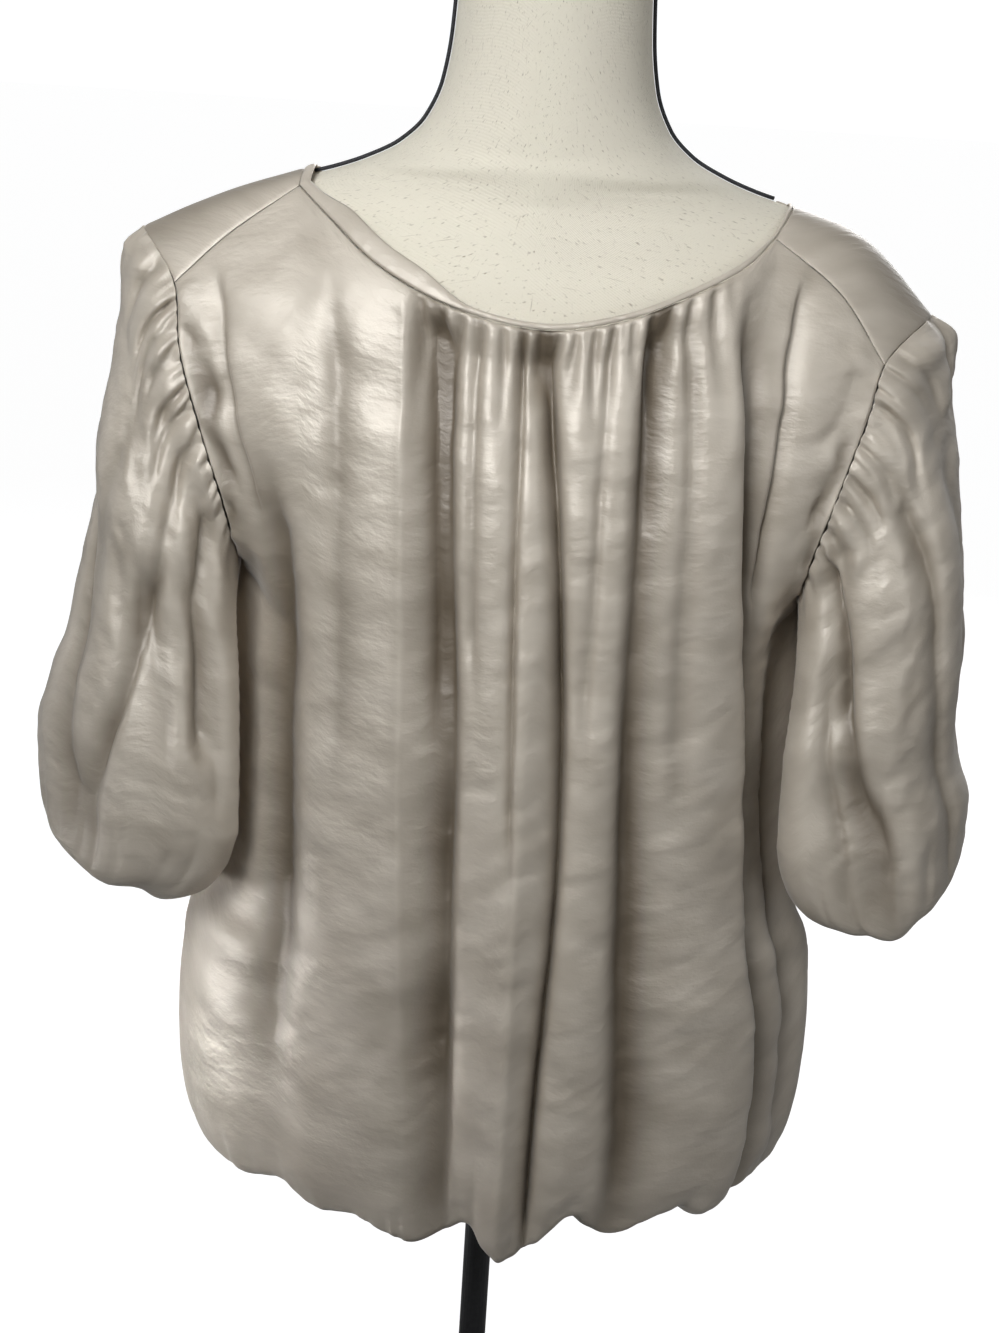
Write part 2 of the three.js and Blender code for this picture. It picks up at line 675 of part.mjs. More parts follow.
function gatherDepth(panel, topX, below) {
  const fade = 0.35 + 0.65 * smooth(below / 18);
  const length = 1 - smooth(below / GATHER_LENGTH);
  const nearest = Math.min(...GATHERS[panel].map((x) => Math.abs(x - topX)));
  return GATHER_DEPTH * Math.exp(-((nearest / GATHER_WIDTH) ** 2)) * fade * length;
}

// The columns of a panel, each with its place on the top edge and its share of the way across. There is
// one at the floor of each gather and one at each crest between them.
function panelColumns(panel) {
  const count = PANEL_COLUMNS[panel];
  const gathers = GATHERS[panel];
  const crests = gathers.slice(1).map((x, i) => (x + gathers[i]) / 2);
  const inner = [...gathers, ...crests].sort((a, b) => a - b);
  const neckline = necklineCurves[panel];
  const neckShareAt = (x) => {
    let [low, high] = [0, 1];
    for (let i = 0; i < 30; i += 1) {
      const middle = (low + high) / 2;
      if (neckline.getPoint(middle).x < x) low = middle;
      else high = middle;
    }
    return low;
  };
  const first = neckShareAt(inner[0] - 5);
  const last = neckShareAt(inner[inner.length - 1] + 5);
  const spread = (curve, from, to, spans) =>
    Array.from({ length: spans }, (_, i) => curve.getPoint(mix(from, to, i / spans)));
  const columns = [
    ...spread(yokeCurves.left[panel], 1, 0, count.yoke),
    ...spread(neckline, 0, first, count.plain),
    neckline.getPoint(first),
    ...inner.map((x) => neckline.getPoint(neckShareAt(x))),
    ...spread(neckline, last, 1, count.plain),
    ...spread(yokeCurves.right[panel], 0, 1, count.yoke),
    yokeCurves.right[panel].getPoint(1),
  ];
  return columns;
}

const PANEL_ROWS = [
  ...ARMHOLE_STEPS.map((step) => ({ step, fallen: (MIDDLE_FALL * step) / STEPS_TO_UNDERARM })),
  ...SIDE_SHARES.map((share) => ({ share, fallen: mix(MIDDLE_FALL, 1, share) })),
  ...HEM_TURN.map((turn) => ({ share: 1, fallen: 1, turn })),
];

// The depth of the plain section at a height and x.
function sectionDepth(panel, x, z) {
  const across = Math.min(0.995, Math.abs(x) / sectionSide(z));
  return facing[panel] * bodyReach[panel](z) * Math.sqrt(1 - across * across);
}

function bandPoint(panel, x, z) {
  const across = THREE.MathUtils.clamp(x / sideReach(0), -1, 1);
  const depth = facing[panel] * HEM_BAND[panel];
  return new THREE.Vector3(HEM_BAND.side * across, depth * Math.sqrt(1 - across * across), z);
}

// A point of a panel, on the column that starts at a point of its top edge.
function panelPoint(panel, top, row) {
  const side = top.x < 0 ? "left" : "right";
  const corner = edgePoint(panel, side, { step: 0 });
  const edge = edgePoint(panel, side, row);
  const foot = edgePoint(panel, side, { share: 1 });
  const out = clamp01(top.x / corner.x);
  const share = mix(row.fallen, (corner.z - edge.z) / (corner.z - foot.z), out ** 6);
  const widening = edge.x / mix(corner.x, footOf[panel](corner.x), share);
  const x = mix(top.x, footOf[panel](top.x), share) * mix(1, widening, out * out);
  const low = hemLine[panel](x);
  const turnedTo = row.turn && mix(low + row.turn.rise, HEM_BAND.foot, row.turn.in ** 8);
  const z = turnedTo ?? mix(top.z, low + HEM_TURN[0].rise, share);
  const plain = sectionDepth(panel, x, z);
  const nearEdge = clamp01((out - 0.55) / 0.45) ** 2;
  const edgeMiss = edge.y - sectionDepth(panel, edge.x, edge.z);
  const cornerMiss = corner.y - sectionDepth(panel, corner.x, corner.z);
  const topMiss = top.y - sectionDepth(panel, top.x, top.z) - cornerMiss * nearEdge;
  const fade = (1 - clamp01(share / 0.4)) ** 2;
  const point = new THREE.Vector3(x, plain + edgeMiss * nearEdge + topMiss * fade, z);
  if (row.turn) point.lerp(bandPoint(panel, x, z), row.turn.in);
  const kept = smooth((1 - out) / 0.07) * (row.turn ? (1 - row.turn.in) ** 2 : 1);
  const depth = foldDepth(panel, top.x, z) + gatherDepth(panel, top.x, top.z - z);
  const inward = new THREE.Vector3(-point.x * 0.45, -point.y, 0).normalize();
  return point.addScaledVector(inward, depth * kept);
}

function panelWall(panel) {
  const columns = panelColumns(panel);
  const grid = PANEL_ROWS.map((row) => columns.map((top) => panelPoint(panel, top, row)));
  const end = columns.length - 1;
  const yoke = PANEL_COLUMNS[panel].yoke;
  const seamAt = (r, c, normal) => {
    if (r === 0 && c >= yoke && c <= end - yoke) return neckOutward(grid[r][c]);
    if (c !== 0 && c !== end) return null;
    if (PANEL_ROWS[r].step === undefined) return normal.clone().setY(0).normalize();
    return armholeOutward(c === 0 ? "left" : "right", grid[r][c], 1);
  };
  drawIn(grid, "top", SEAM_GAP / 2);
  ["start", "end"].forEach((edge) => drawIn(grid, edge, SEAM_GAP * 0.7));
  return clothWall(grid, {
    outside: () => new THREE.Vector3(0, facing[panel], 0),
    seam: seamAt,
  });
}

// The binding round the neck: it stands on the neck seam and leans towards the neck.
function neckSeam() {
  const front = panelColumns("front");
  const back = panelColumns("back");
  const yoke = PANEL_COLUMNS.front.yoke;
  const over = (side, values) => values.map((value) => yokePoint(side, 0, value));
  return [
    ...front.slice(yoke, front.length - yoke),
    ...over("right", [-0.5, 0, 0.5]),
    ...back.slice(yoke, back.length - yoke).reverse(),
    ...over("left", [0.5, 0, -0.5]),
  ];
}

function bindingWidth(point) {
  if (point.y > 10) return 8;
  const leftward = smooth((40 - point.x) / 110);
  return mix(3.5, 12, leftward) * (1 - 0.45 * smooth((Math.abs(point.x) - 105) / 30));
}

function bindingWall() {
  const seam = neckSeam();
  const grid = [1, 0].map((up) =>
    seam.map((point) => {
      const height = SEAM_GAP + up * bindingWidth(point);
      return point.clone().addScaledVector(leanToNeck(point), height);
    }),
  );
  const directions = seam.map(neckOutward);
  return clothWall(grid, {
    ring: true,
    outside: (point) => new THREE.Vector3(point.x, point.y, 0),
    thickness: BINDING_THICKNESS,
    seam: (r, c) => (r === 1 ? directions[c] : null),
  });
}

// The band inside the bubble hem, and the ones inside the sleeve hems.
function ringWall(points, height) {
  const grid = [height, 0].map((rise) => points.map((point) => point.clone().setZ(point.z + rise)));
  return clothWall(grid, {
    ring: true,
    outside: (point) => {
      const middle = points.reduce((sum, p) => sum.add(p), new THREE.Vector3()).divideScalar(points.length);
      return point.clone().sub(middle).setZ(0);
    },
  });
}

function hemBandWall() {
  const columns = 20;
  const shares = Array.from({ length: columns }, (_, i) => Math.sin((-0.5 + i / columns) * Math.PI));
  const at = (panel, share) => bandPoint(panel, share * sideReach(0), HEM_BAND.foot + CLOTH_THICKNESS);
  const points = [
    ...shares.map((share) => at("front", share)),
    ...shares.map((share) => at("back", -share)),
  ];
  return ringWall(points, HEM_BAND.height);
}

// The sleeves. Angles run round the sleeve: 0 is outermost, -90 degrees faces forward, 180 is the underarm.
const sleeveCurves = Object.fromEntries(
  Object.entries(SLEEVES).map(([side, { rings }]) => [
    side,
    Object.fromEntries(["outer", "inner", "front", "back"].map((name) => [name, tableCurve(rings, "z", name)])),
  ]),
);

// The plain body's side reach at a height and depth, which the sleeve has to clear.
function bodySideAt(y, z) {
  const reach = bodyReach[y < 0 ? "front" : "back"](z);
  return sideReach(z) * Math.sqrt(Math.max(0, 1 - (y / reach) ** 2));
}

function sleeveRing(side, angle, z) {
  const curves = sleeveCurves[side];
  const middle = (curves.outer(z) + curves.inner(z)) / 2;
  const half = (curves.outer(z) - curves.inner(z)) / 2;
  const depth = Math.sin(angle) < 0 ? curves.front(z) : curves.back(z);
  const power = Math.cos(angle) < 0 ? SLEEVE_INNER_POWER : 1;
  const bend = (value) => Math.sign(value) * Math.abs(value) ** power;
  return { reach: middle + half * bend(Math.cos(angle)), y: depth * bend(Math.sin(angle)) };
}

function sleevePoint(side, index, row) {
  const sign = side === "left" ? -1 : 1;
  const { low, cuff, folds } = SLEEVES[side];
  const angle = (-index / SLEEVE_COLUMNS) * 2 * Math.PI;
  const outwards = (1 + Math.cos(angle)) / 2;
  const seam = armholeAt(side, index / SLEEVE_COLUMNS);
  const lowest = low.level + low.outer * outwards ** 1.3 + low.inner * (1 - outwards) ** 2;
  const turnStart = lowest + SLEEVE_TURN[0].rise;
  const share = row.turn ? 1 : row.share;
  const level = row.turn ? lowest + row.turn.rise : mix(seam.z, turnStart, share);
  const ring = sleeveRing(side, angle, Math.max(level, turnStart - 1));
  const start = sleeveRing(side, angle, seam.z);
  const fade = (1 - clamp01(share / 0.45)) ** 2;
  const point = new THREE.Vector3(
    ring.reach + (Math.abs(seam.x) - start.reach) * fade,
    ring.y + (seam.y - start.y) * fade,
    level,
  );
  const puff = CAP_PUFF * outwards * Math.sin(Math.PI * clamp01(share / 0.16));
  point.z += puff;
  point.x += puff * 0.8;
  const free = 1 - 0.8 * smooth((-Math.cos(angle) - 0.1) / 0.6);
  const pleats = free * folds.reduce((depth, fold) => {
    const turn = THREE.MathUtils.euclideanModulo(THREE.MathUtils.radToDeg(angle) - fold.at + 180, 360) - 180;
    const live = smooth((share - fold.from + 0.12) / 0.2) * (1 - smooth((share - fold.to) / 0.2));
    return depth + fold.depth * valley(turn, fold.width) * live;
  }, 0);
  const room = smooth(share / 0.1) * (row.turn ? (1 - row.turn.in) ** 2 : 1);
  const middle = (sleeveCurves[side].outer(level) + sleeveCurves[side].inner(level)) / 2;
  const inward = new THREE.Vector3(middle - point.x, -point.y, 0).normalize();
  point.addScaledVector(inward, pleats * room);
  const clear = bodySideAt(point.y, point.z) + mix(2, SLEEVE_CLEARANCE, smooth(share / 0.3));
  if (share > 0 && Math.cos(angle) < 0.3 && point.z < seam.z) point.x = Math.max(point.x, clear);
  if (row.turn) {
    const depth = cuff.depth * Math.sin(angle);
    const cuffPoint = new THREE.Vector3(cuff.x + cuff.side * Math.cos(angle), cuff.y + depth, level);
    point.lerp(cuffPoint, row.turn.in);
  }
  point.x *= sign;
  return point;
}

const SLEEVE_ROWS = [
  ...SLEEVE_SHARES.map((share) => ({ share })),
  ...SLEEVE_TURN.map((turn) => ({ turn })),
];

function sleeveGrid(side) {
  return SLEEVE_ROWS.map((row) =>
    Array.from({ length: SLEEVE_COLUMNS }, (_, index) => sleevePoint(side, index, row)),
  );
}

function sleeveWall(side) {
  const sign = side === "left" ? -1 : 1;
  const grid = sleeveGrid(side);
  const directions = grid[0].map((point) => armholeOutward(side, point, -1));
  grid[0].forEach((point) => {
    point.x += sign * SEAM_GAP * 1.4;
  });
  const middle = SLEEVES[side].cuff.x * sign;
  return clothWall(grid, {
    ring: true,
    outside: (point) => new THREE.Vector3(point.x - middle, point.y, 0),
    seam: (r, c) => (r === 0 ? directions[c] : null),
  });
}

function cuffBandWall(side) {
  const grid = sleeveGrid(side);
  const rim = grid[grid.length - 1];
  const points = rim.map((point) => point.clone().setZ(point.z + SEAM_GAP + CUFF_BAND.rise - SLEEVE_TURN.at(-1).rise));
  return ringWall(points, CUFF_BAND.height);
}

// Materials.
const satin = new THREE.MeshStandardMaterial({ color: CHAMPAGNE, roughness: 0.42, metalness: 0 });
const linen = new THREE.MeshStandardMaterial({ color: 0xd3c9b6, roughness: 0.9, metalness: 0 });
const piping = new THREE.MeshStandardMaterial({ color: 0x1b1c1e, roughness: 0.6, metalness: 0 });
const blackMetal = new THREE.MeshStandardMaterial({ color: 0x111313, roughness: 0.45, metalness: 0.4 });

const blouseOnForm = new THREE.Group();

function place(name, geometry, material, z = 0) {
  const mesh = new THREE.Mesh(geometry, material);
  mesh.name = name;
  mesh.position.z = z;
  blouseOnForm.add(mesh);
}

place("front", panelWall("front"), satin);
place("back", panelWall("back"), satin);
["left", "right"].forEach((side) => {
  place(`yoke_${side}`, yokeWall(side), satin);
  place(`sleeve_${side}`, sleeveWall(side), satin);
  place(`cuff_band_${side}`, cuffBandWall(side), satin);
});
place("neck_binding", bindingWall(), satin);
place("hem_band", hemBandWall(), satin);

place("form_torso", formTorso(), linen);
place("form_piping_left", formPiping(-1), piping);
place("form_piping_right", formPiping(1), piping);

const neckTop = FORM_SECTIONS[FORM_SECTIONS.length - 1];
const capRadius = neckTop.side - 3;
const capProfile = [[0, 0], [capRadius, 0], [capRadius, NECK_CAP_HEIGHT - 3], [capRadius - 4, NECK_CAP_HEIGHT], [0, NECK_CAP_HEIGHT]];
place("form_neck_cap", turned(capProfile, 32), blackMetal, neckTop.z + PART_GAP);

const poleTop = FORM_SECTIONS[0].z - PART_GAP;
const poleFoot = BASE_THICKNESS + PART_GAP;
place("pole", turned([[0, 0], [POLE_RADIUS, 0], [POLE_RADIUS, poleTop - poleFoot], [0, poleTop - poleFoot]], 24), blackMetal, poleFoot);

const socketBore = POLE_RADIUS + PART_GAP;
const socketProfile = [
  [socketBore, 0],
  [SOCKET_RADIUS, 0],
  [SOCKET_RADIUS, SOCKET_HEIGHT * 0.35],
  [SOCKET_RADIUS * 0.62, SOCKET_HEIGHT],
  [socketBore, SOCKET_HEIGHT],
  [socketBore, 0],
];
place("pole_socket", turned(socketProfile, 24), blackMetal, BASE_THICKNESS + PART_GAP);

const baseProfile = [
  [0, 0],
  [BASE_RADIUS - 2, 0],
  [BASE_RADIUS, 2],
  [BASE_RADIUS, BASE_THICKNESS - 4],
  [BASE_RADIUS - 6, BASE_THICKNESS],
  [0, BASE_THICKNESS],
];
place("base", turned(baseProfile, 48), blackMetal);

export default blouseOnForm;
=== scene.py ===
# %% [markdown]
# # A satin blouse on a dress form
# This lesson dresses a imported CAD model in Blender. The CAD part is a loose champagne blouse with a
# gathered neck, balloon sleeves and a bubble hem, worn by a dress form without limbs on a pole. The
# CAD solids carry the shape for collision. Here each cloth piece becomes a thin, finely folded shell
# in the same place, and every surface gets a procedural material.
#
# All sizes are millimetres until a mesh is made. Left is -X, and the front faces -Y.

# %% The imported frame
import math

import bpy
import numpy as np
from mathutils import Matrix, Vector


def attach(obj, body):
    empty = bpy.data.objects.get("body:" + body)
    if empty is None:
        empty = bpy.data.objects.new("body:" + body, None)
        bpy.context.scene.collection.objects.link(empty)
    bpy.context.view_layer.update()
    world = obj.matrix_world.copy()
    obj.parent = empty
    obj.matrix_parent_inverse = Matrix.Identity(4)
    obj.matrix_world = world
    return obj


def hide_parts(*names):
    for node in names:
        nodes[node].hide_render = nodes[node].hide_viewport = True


MM = 0.001
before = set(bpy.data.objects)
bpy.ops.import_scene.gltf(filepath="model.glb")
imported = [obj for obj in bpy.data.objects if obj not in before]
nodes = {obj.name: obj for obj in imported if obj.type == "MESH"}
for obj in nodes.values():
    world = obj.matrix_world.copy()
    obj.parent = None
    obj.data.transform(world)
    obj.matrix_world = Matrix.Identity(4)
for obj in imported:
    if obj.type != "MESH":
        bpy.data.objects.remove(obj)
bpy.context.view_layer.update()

# %% [markdown]
# ## The camera
# The photograph was taken from a little above the shoulders, about 1.3 m away, looking down with the
# picture tilted. A pinhole camera with the same pitch, roll and lens puts every seam where the
# photograph has it, so the folds can be compared line by line.

# %% The photograph's camera
CAMERA_PLACE = (-0.0085, -1.256, 0.904)
CAMERA_PITCH = math.radians(-15.75)
CAMERA_ROLL = math.radians(3.5)
CAMERA_LENS = 59.58

camera_data = bpy.data.cameras.new("camera")
camera_data.sensor_width = 36
camera_data.lens = CAMERA_LENS
camera = bpy.data.objects.new("camera", camera_data)
bpy.context.scene.collection.objects.link(camera)
level_view = Matrix.Rotation(math.pi / 2 + CAMERA_PITCH, 4, "X")
camera.matrix_world = Matrix.Translation(CAMERA_PLACE) @ level_view @ Matrix.Rotation(CAMERA_ROLL, 4, "Z")
bpy.context.scene.camera = camera
print("camera", tuple(round(value, 3) for value in camera.location), "lens", CAMERA_LENS, "mm")

# %% [markdown]
# ## Light, floor and backdrop
# Satin shows its folds through soft highlights with darker gaps between them. Two softboxes in one
# place make the key light: a wide one, and one with a narrow spread for the chest and shoulders. A fill
# at the right softens the shade. A strip and a small low lamp light the left side, and a large softbox
# behind serves the back views. The world is brighter behind the object than in front of it. The camera
# sees the floor and the world nearly white, as in the photograph.

# %% Studio
def softbox(name, place, aim, width, height, watts, tint=(1, 1, 1)):
    """A rectangular area light that looks at a point."""
    data = bpy.data.lights.new(name, "AREA")
    data.shape, data.size, data.size_y = "RECTANGLE", width, height
    data.energy, data.color = watts, tint
    lamp = bpy.data.objects.new(name, data)
    bpy.context.scene.collection.objects.link(lamp)
    lamp.location = place
    lamp.rotation_euler = (Vector(aim) - Vector(place)).to_track_quat("-Z", "Y").to_euler()
    return lamp


KEY_PLACE, KEY_TINT, SIDE_TINT = (-0.5, -1.08, 1.4), (0.945, 0.975, 1), (0.97, 0.98, 1)
KEY_SPREAD, LOW_SPREAD = math.radians(60), math.radians(22)

softbox("key", KEY_PLACE, (-0.02, -0.08, 0.7), 0.6, 0.55, 2.8, KEY_TINT)
narrow_key = softbox("narrow key", KEY_PLACE, (-0.03, -0.08, 0.8), 0.75, 0.6, 2.1, KEY_TINT)
narrow_key.data.spread = KEY_SPREAD
softbox("fill", (1.0, -1.3, 1.15), (0.05, -0.1, 0.7), 0.7, 0.7, 4.7, (0.95, 0.98, 1))
softbox("left strip", (-1.35, 0.4, 0.6), (-0.12, 0, 0.35), 0.4, 0.9, 0.8, SIDE_TINT)
low_left = softbox("low left", (-0.95, -0.02, 0.2), (-0.2, -0.01, 0.29), 0.2, 0.2, 0.11, SIDE_TINT)
low_left.data.spread = LOW_SPREAD
softbox("behind", (0.6, 2.0, 1.5), (0, 0, 0.55), 1.3, 1.0, 28)

BACKDROP_SEEN = 1.05
world = bpy.data.worlds.new("studio")
world.use_nodes = True
bpy.context.scene.world = world
bpy.context.scene.view_settings.view_transform = "Standard"
sky = world.node_tree
background = sky.nodes["Background"]
direction = sky.nodes.new("ShaderNodeTexCoord").outputs["Generated"]
parts = sky.nodes.new("ShaderNodeSeparateXYZ")
sky.links.new(direction, parts.inputs[0])
brightness = sky.nodes.new("ShaderNodeMapRange")
sky.links.new(parts.outputs["Y"], brightness.inputs["Value"])
for label, value in {"From Min": -0.6, "From Max": 0.7, "To Min": 0.097, "To Max": 0.419}.items():
    brightness.inputs[label].default_value = value
seen = sky.nodes.new("ShaderNodeMix")
seen.data_type = "FLOAT"
sky.links.new(sky.nodes.new("ShaderNodeLightPath").outputs["Is Camera Ray"], seen.inputs["Factor"])
sky.links.new(brightness.outputs[0], seen.inputs[2])
seen.inputs[3].default_value = BACKDROP_SEEN
sky.links.new(seen.outputs[0], background.inputs["Strength"])
background.inputs["Color"].default_value = (0.97, 0.98, 1, 1)

FLOOR_REACH = 30
floor_mesh = bpy.data.meshes.new("floor")
floor_corners = [(x * FLOOR_REACH, y * FLOOR_REACH, 0) for x, y in ((-1, -1), (1, -1), (1, 1), (-1, 1))]
floor_mesh.from_pydata(floor_corners, [], [(0, 1, 2, 3)])
floor = bpy.data.objects.new("floor", floor_mesh)
bpy.context.scene.collection.objects.link(floor)

# %% [markdown]
# ## Helpers for curves
# The cloth is worked out from short tables, as a pattern maker works from a few measures. A curve
# that never overshoots runs through each table, and the seams are centripetal Catmull-Rom curves, the
# same kind that the CAD model uses, so that both lie in the same place.

# %% Curves
def mix(a, b, share):
    return a + (b - a) * share


def clamp01(value):
    return np.clip(value, 0.0, 1.0)


def smooth(value):
    value = clamp01(value)
    return value**3 * (value * (value * 6 - 15) + 10)


def bell(distance, width):
    return np.exp(-((distance / width) ** 2))


def table(names, *rows):
    """Rows of numbers as one array for each named column."""
    return dict(zip(names.split(), np.array(rows, float).T))


def curve(columns, key, value):
    """A smooth function through two columns of a table that never overshoots."""
    order = np.argsort(columns[key])
    keys, values = columns[key][order], columns[value][order]
    slopes = np.diff(values) / np.diff(keys)
    before, after = slopes[:-1], slopes[1:]
    total = np.where(before * after > 0, before + after, 1)
    inner = np.where(before * after > 0, 2 * before * after / total, 0)
    tangents = np.concatenate([slopes[:1], inner, slopes[-1:]])

    def at(place):
        place = np.clip(place, keys[0], keys[-1])
        i = np.clip(np.searchsorted(keys, place, side="right") - 1, 0, len(keys) - 2)
        step = keys[i + 1] - keys[i]
        u = (place - keys[i]) / step
        bend = u * u * (3 - 2 * u)
        ends = (1 - u) * tangents[i] * step - u * tangents[i + 1] * step
        return mix(values[i], values[i + 1], bend) + u * (1 - u) * ends

    return at


def seam_curve(points, closed=False):
    """A centripetal Catmull-Rom curve through points, as a function of a share from 0 to 1."""
    points = np.array(points, float)
    count = len(points)

    def at(share):
        share = np.asarray(share, float)
        along = (share % 1.0) * count if closed else clamp01(share) * (count - 1)
        i = np.floor(along).astype(int) if closed else np.minimum(np.floor(along).astype(int), count - 2)
        u = (along - i)[..., None]
        if closed:
            p0, p1, p2, p3 = (points[(i + k) % count] for k in (-1, 0, 1, 2))
        else:
            extended = np.vstack([2 * points[0] - points[1], points, 2 * points[-1] - points[-2]])
            p0, p1, p2, p3 = (extended[i + k] for k in (0, 1, 2, 3))
        steps = ((p0, p1), (p1, p2), (p2, p3))
        gaps = [np.maximum(np.linalg.norm(b - a, axis=-1, keepdims=True), 1e-6) ** 0.5 for a, b in steps]
        t1 = ((p1 - p0) / gaps[0] - (p2 - p0) / (gaps[0] + gaps[1]) + (p2 - p1) / gaps[1]) * gaps[1]
        t2 = ((p2 - p1) / gaps[1] - (p3 - p1) / (gaps[1] + gaps[2]) + (p3 - p2) / gaps[2]) * gaps[1]
        return p1 + u * t1 + u**2 * (-3 * p1 + 3 * p2 - 2 * t1 - t2) + u**3 * (2 * p1 - 2 * p2 + t1 + t2)

    return at


def dotted(a, b):
    return np.sum(a * b, axis=-1, keepdims=True)


def unit(vectors):
    return vectors / np.maximum(np.linalg.norm(vectors, axis=-1, keepdims=True), 1e-9)


print("half way up a smooth step:", float(smooth(0.5)))

# %% [markdown]
# ## Soft noise for crumpled cloth
# Washed satin is never flat: it keeps faint dents from washing. Smooth random values on a coarse
# lattice, read with a cubic curve, give dents of any length and width, and a fixed seed gives the same
# cloth on each run.

# %% Dents
LATTICE = (61, 67)


def dents(across, down, wide, tall, seed):
    """Smooth noise from -1 to 1 over a sheet, with dents of a given width and height."""
    values = np.random.default_rng(seed).uniform(-1, 1, LATTICE)
    u, v = across / wide, down / tall
    i, j = np.floor(u).astype(int), np.floor(v).astype(int)
    a, b = smooth(u - i), smooth(v - j)
    at = lambda di, dj: values[(i + di) % LATTICE[0], (j + dj) % LATTICE[1]]
    return mix(mix(at(0, 0), at(1, 0), a), mix(at(0, 1), at(1, 1), a), b)


def crumple(across, down, seed):
    """Two sizes of dents on slanted axes, so that no lattice shows."""
    slant = across * 0.35
    large = dents(across + down * 0.22, down + slant, 34, 21, seed)
    small = dents(across - down * 0.4, down - slant * 0.7, 13, 7.5, seed + 1)
    return 0.68 * large + 0.36 * small


print("dents at one point:", round(float(crumple(np.array(10.0), np.array(20.0), 3)), 3))

# %% [markdown]
# ## From a grid of points to a cloth shell
# A draped panel is a grid: columns follow the grain and rows run across. The grid becomes one layer
# of quads whose UV map holds the distances along the cloth, so that a weave keeps its scale. Solidify
# then gives it the thickness of satin towards the inside, with the wrong side of the cloth as its own
# material, and the result is kept as a plain mesh.

# %% Shells
WELD_REACH = 1e-6


def cloth_distances(grid):
    """The distance along the cloth to each point of a grid, across and down from its highest point."""
    across = np.linalg.norm(np.diff(grid, axis=1), axis=2)
    down = np.linalg.norm(np.diff(grid, axis=0), axis=2)
    u = np.concatenate([np.zeros((len(grid), 1)), np.cumsum(across, axis=1)], axis=1)
    u = u - u.mean(axis=1, keepdims=True)
    v = np.concatenate([np.zeros((1, grid.shape[1])), np.cumsum(down, axis=0)], axis=0)
    return u, v + grid[0, :, 2].max() - grid[0, :, 2]


def grid_normals(grid):
    return unit(np.cross(np.gradient(grid, axis=1), np.gradient(grid, axis=0)))


def plain_mesh(name, points, faces, uv=None):
    mesh = bpy.data.meshes.new(name)
    mesh.from_pydata(points.tolist(), [], faces.tolist() if hasattr(faces, "tolist") else faces)
    if uv is not None:
        layer = mesh.uv_layers.new(name="cloth")
        corner_points = np.zeros(len(mesh.loops), np.int32)
        mesh.loops.foreach_get("vertex_index", corner_points)
        layer.data.foreach_set("uv", uv[corner_points].astype(np.float32).ravel())
    mesh.validate()
    mesh.shade_smooth()
    return mesh


def link(name, mesh, *materials):
    piece = bpy.data.objects.new(name, mesh)
    bpy.context.scene.collection.objects.link(piece)
    for material in materials:
        mesh.materials.append(material)
    return piece


def applied(piece):
    """Turns an object's modifiers into its plain mesh."""
    graph = bpy.context.evaluated_depsgraph_get()
    finished = bpy.data.meshes.new_from_object(piece.evaluated_get(graph))
    piece.modifiers.clear()
    piece.data = finished
    return piece


def cloth_shell(name, grid, materials, ring=False, thickness=0.9, outwards=(0, -1, 0), painted_shade_mask=None):
    """A grid in millimetres as a cloth shell: rows down, columns across. The last argument says how
    much painted shade each point gets in the satin's colour, from 0 to 1."""
    painted_shade_mask = np.zeros(grid.shape[:2]) if painted_shade_mask is None else painted_shade_mask
    rows, columns = grid.shape[:2]
    u, v = cloth_distances(grid)
    if ring:
        grid = np.concatenate([grid, grid[:, :1]], axis=1)
        closing = u[:, -1:] + np.linalg.norm(grid[:, -1:] - grid[:, -2:-1], axis=2)
        u, v = np.concatenate([u, closing], axis=1), np.concatenate([v, v[:, :1]], axis=1)
        painted_shade_mask = np.concatenate([painted_shade_mask, painted_shade_mask[:, :1]], axis=1)
    spans = grid.shape[1] - 1
    index = np.arange(rows * (spans + 1)).reshape(rows, spans + 1)
    quads = np.stack([index[:-1, :-1], index[1:, :-1], index[1:, 1:], index[:-1, 1:]], axis=-1).reshape(-1, 4)
    middle = grid_normals(grid)[rows // 3, spans // 2]
    if np.dot(middle, outwards) > 0:
        quads = quads[:, ::-1]
    points = grid.reshape(-1, 3) * MM
    mesh = plain_mesh(name, points, quads, np.stack([u, v], axis=-1).reshape(-1, 2) * MM)
    depths = mesh.attributes.new("painted_shade_mask", "FLOAT", "POINT")
    depths.data.foreach_set("value", painted_shade_mask.astype(np.float32).ravel())
    piece = link(name, mesh, *materials)
    if ring:
        weld = piece.modifiers.new("close the ring", "WELD")
        weld.merge_threshold = WELD_REACH
    solidify = piece.modifiers.new("cloth thickness", "SOLIDIFY")
    solidify.thickness, solidify.offset = thickness * MM, -1
    solidify.material_offset = 1 if len(materials) > 1 else 0
    return applied(piece)


def evenly(points, count):
    """Points at even distances along a line of points."""
    lengths = np.concatenate([[0], np.cumsum(np.linalg.norm(np.diff(points, axis=0), axis=1))])
    at = np.linspace(0, lengths[-1], count)
    return np.stack([np.interp(at, lengths, points[:, k]) for k in range(3)], axis=1)


print("shell helpers ready")

# %% [markdown]
# ## Shader groups that several finishes share
# A material is easier to read when each effect has a name. The crinkle of washed satin and the weave
# of linen are node groups with named inputs. They only put out masks and heights; the shader itself
# stays in each material.

# %% Node helpers
def put(tree, kind, settings=None, **values):
    """A node with its settings, and its inputs set or linked by name."""
    node = tree.nodes.new(kind)
    for name, value in (settings or {}).items():
        setattr(node, name, value)
    for name, value in values.items():
        socket = node.inputs[name.replace("_", " ")]
        if isinstance(value, bpy.types.NodeSocket):
            tree.links.new(value, socket)
        else:
            socket.default_value = value
    return node


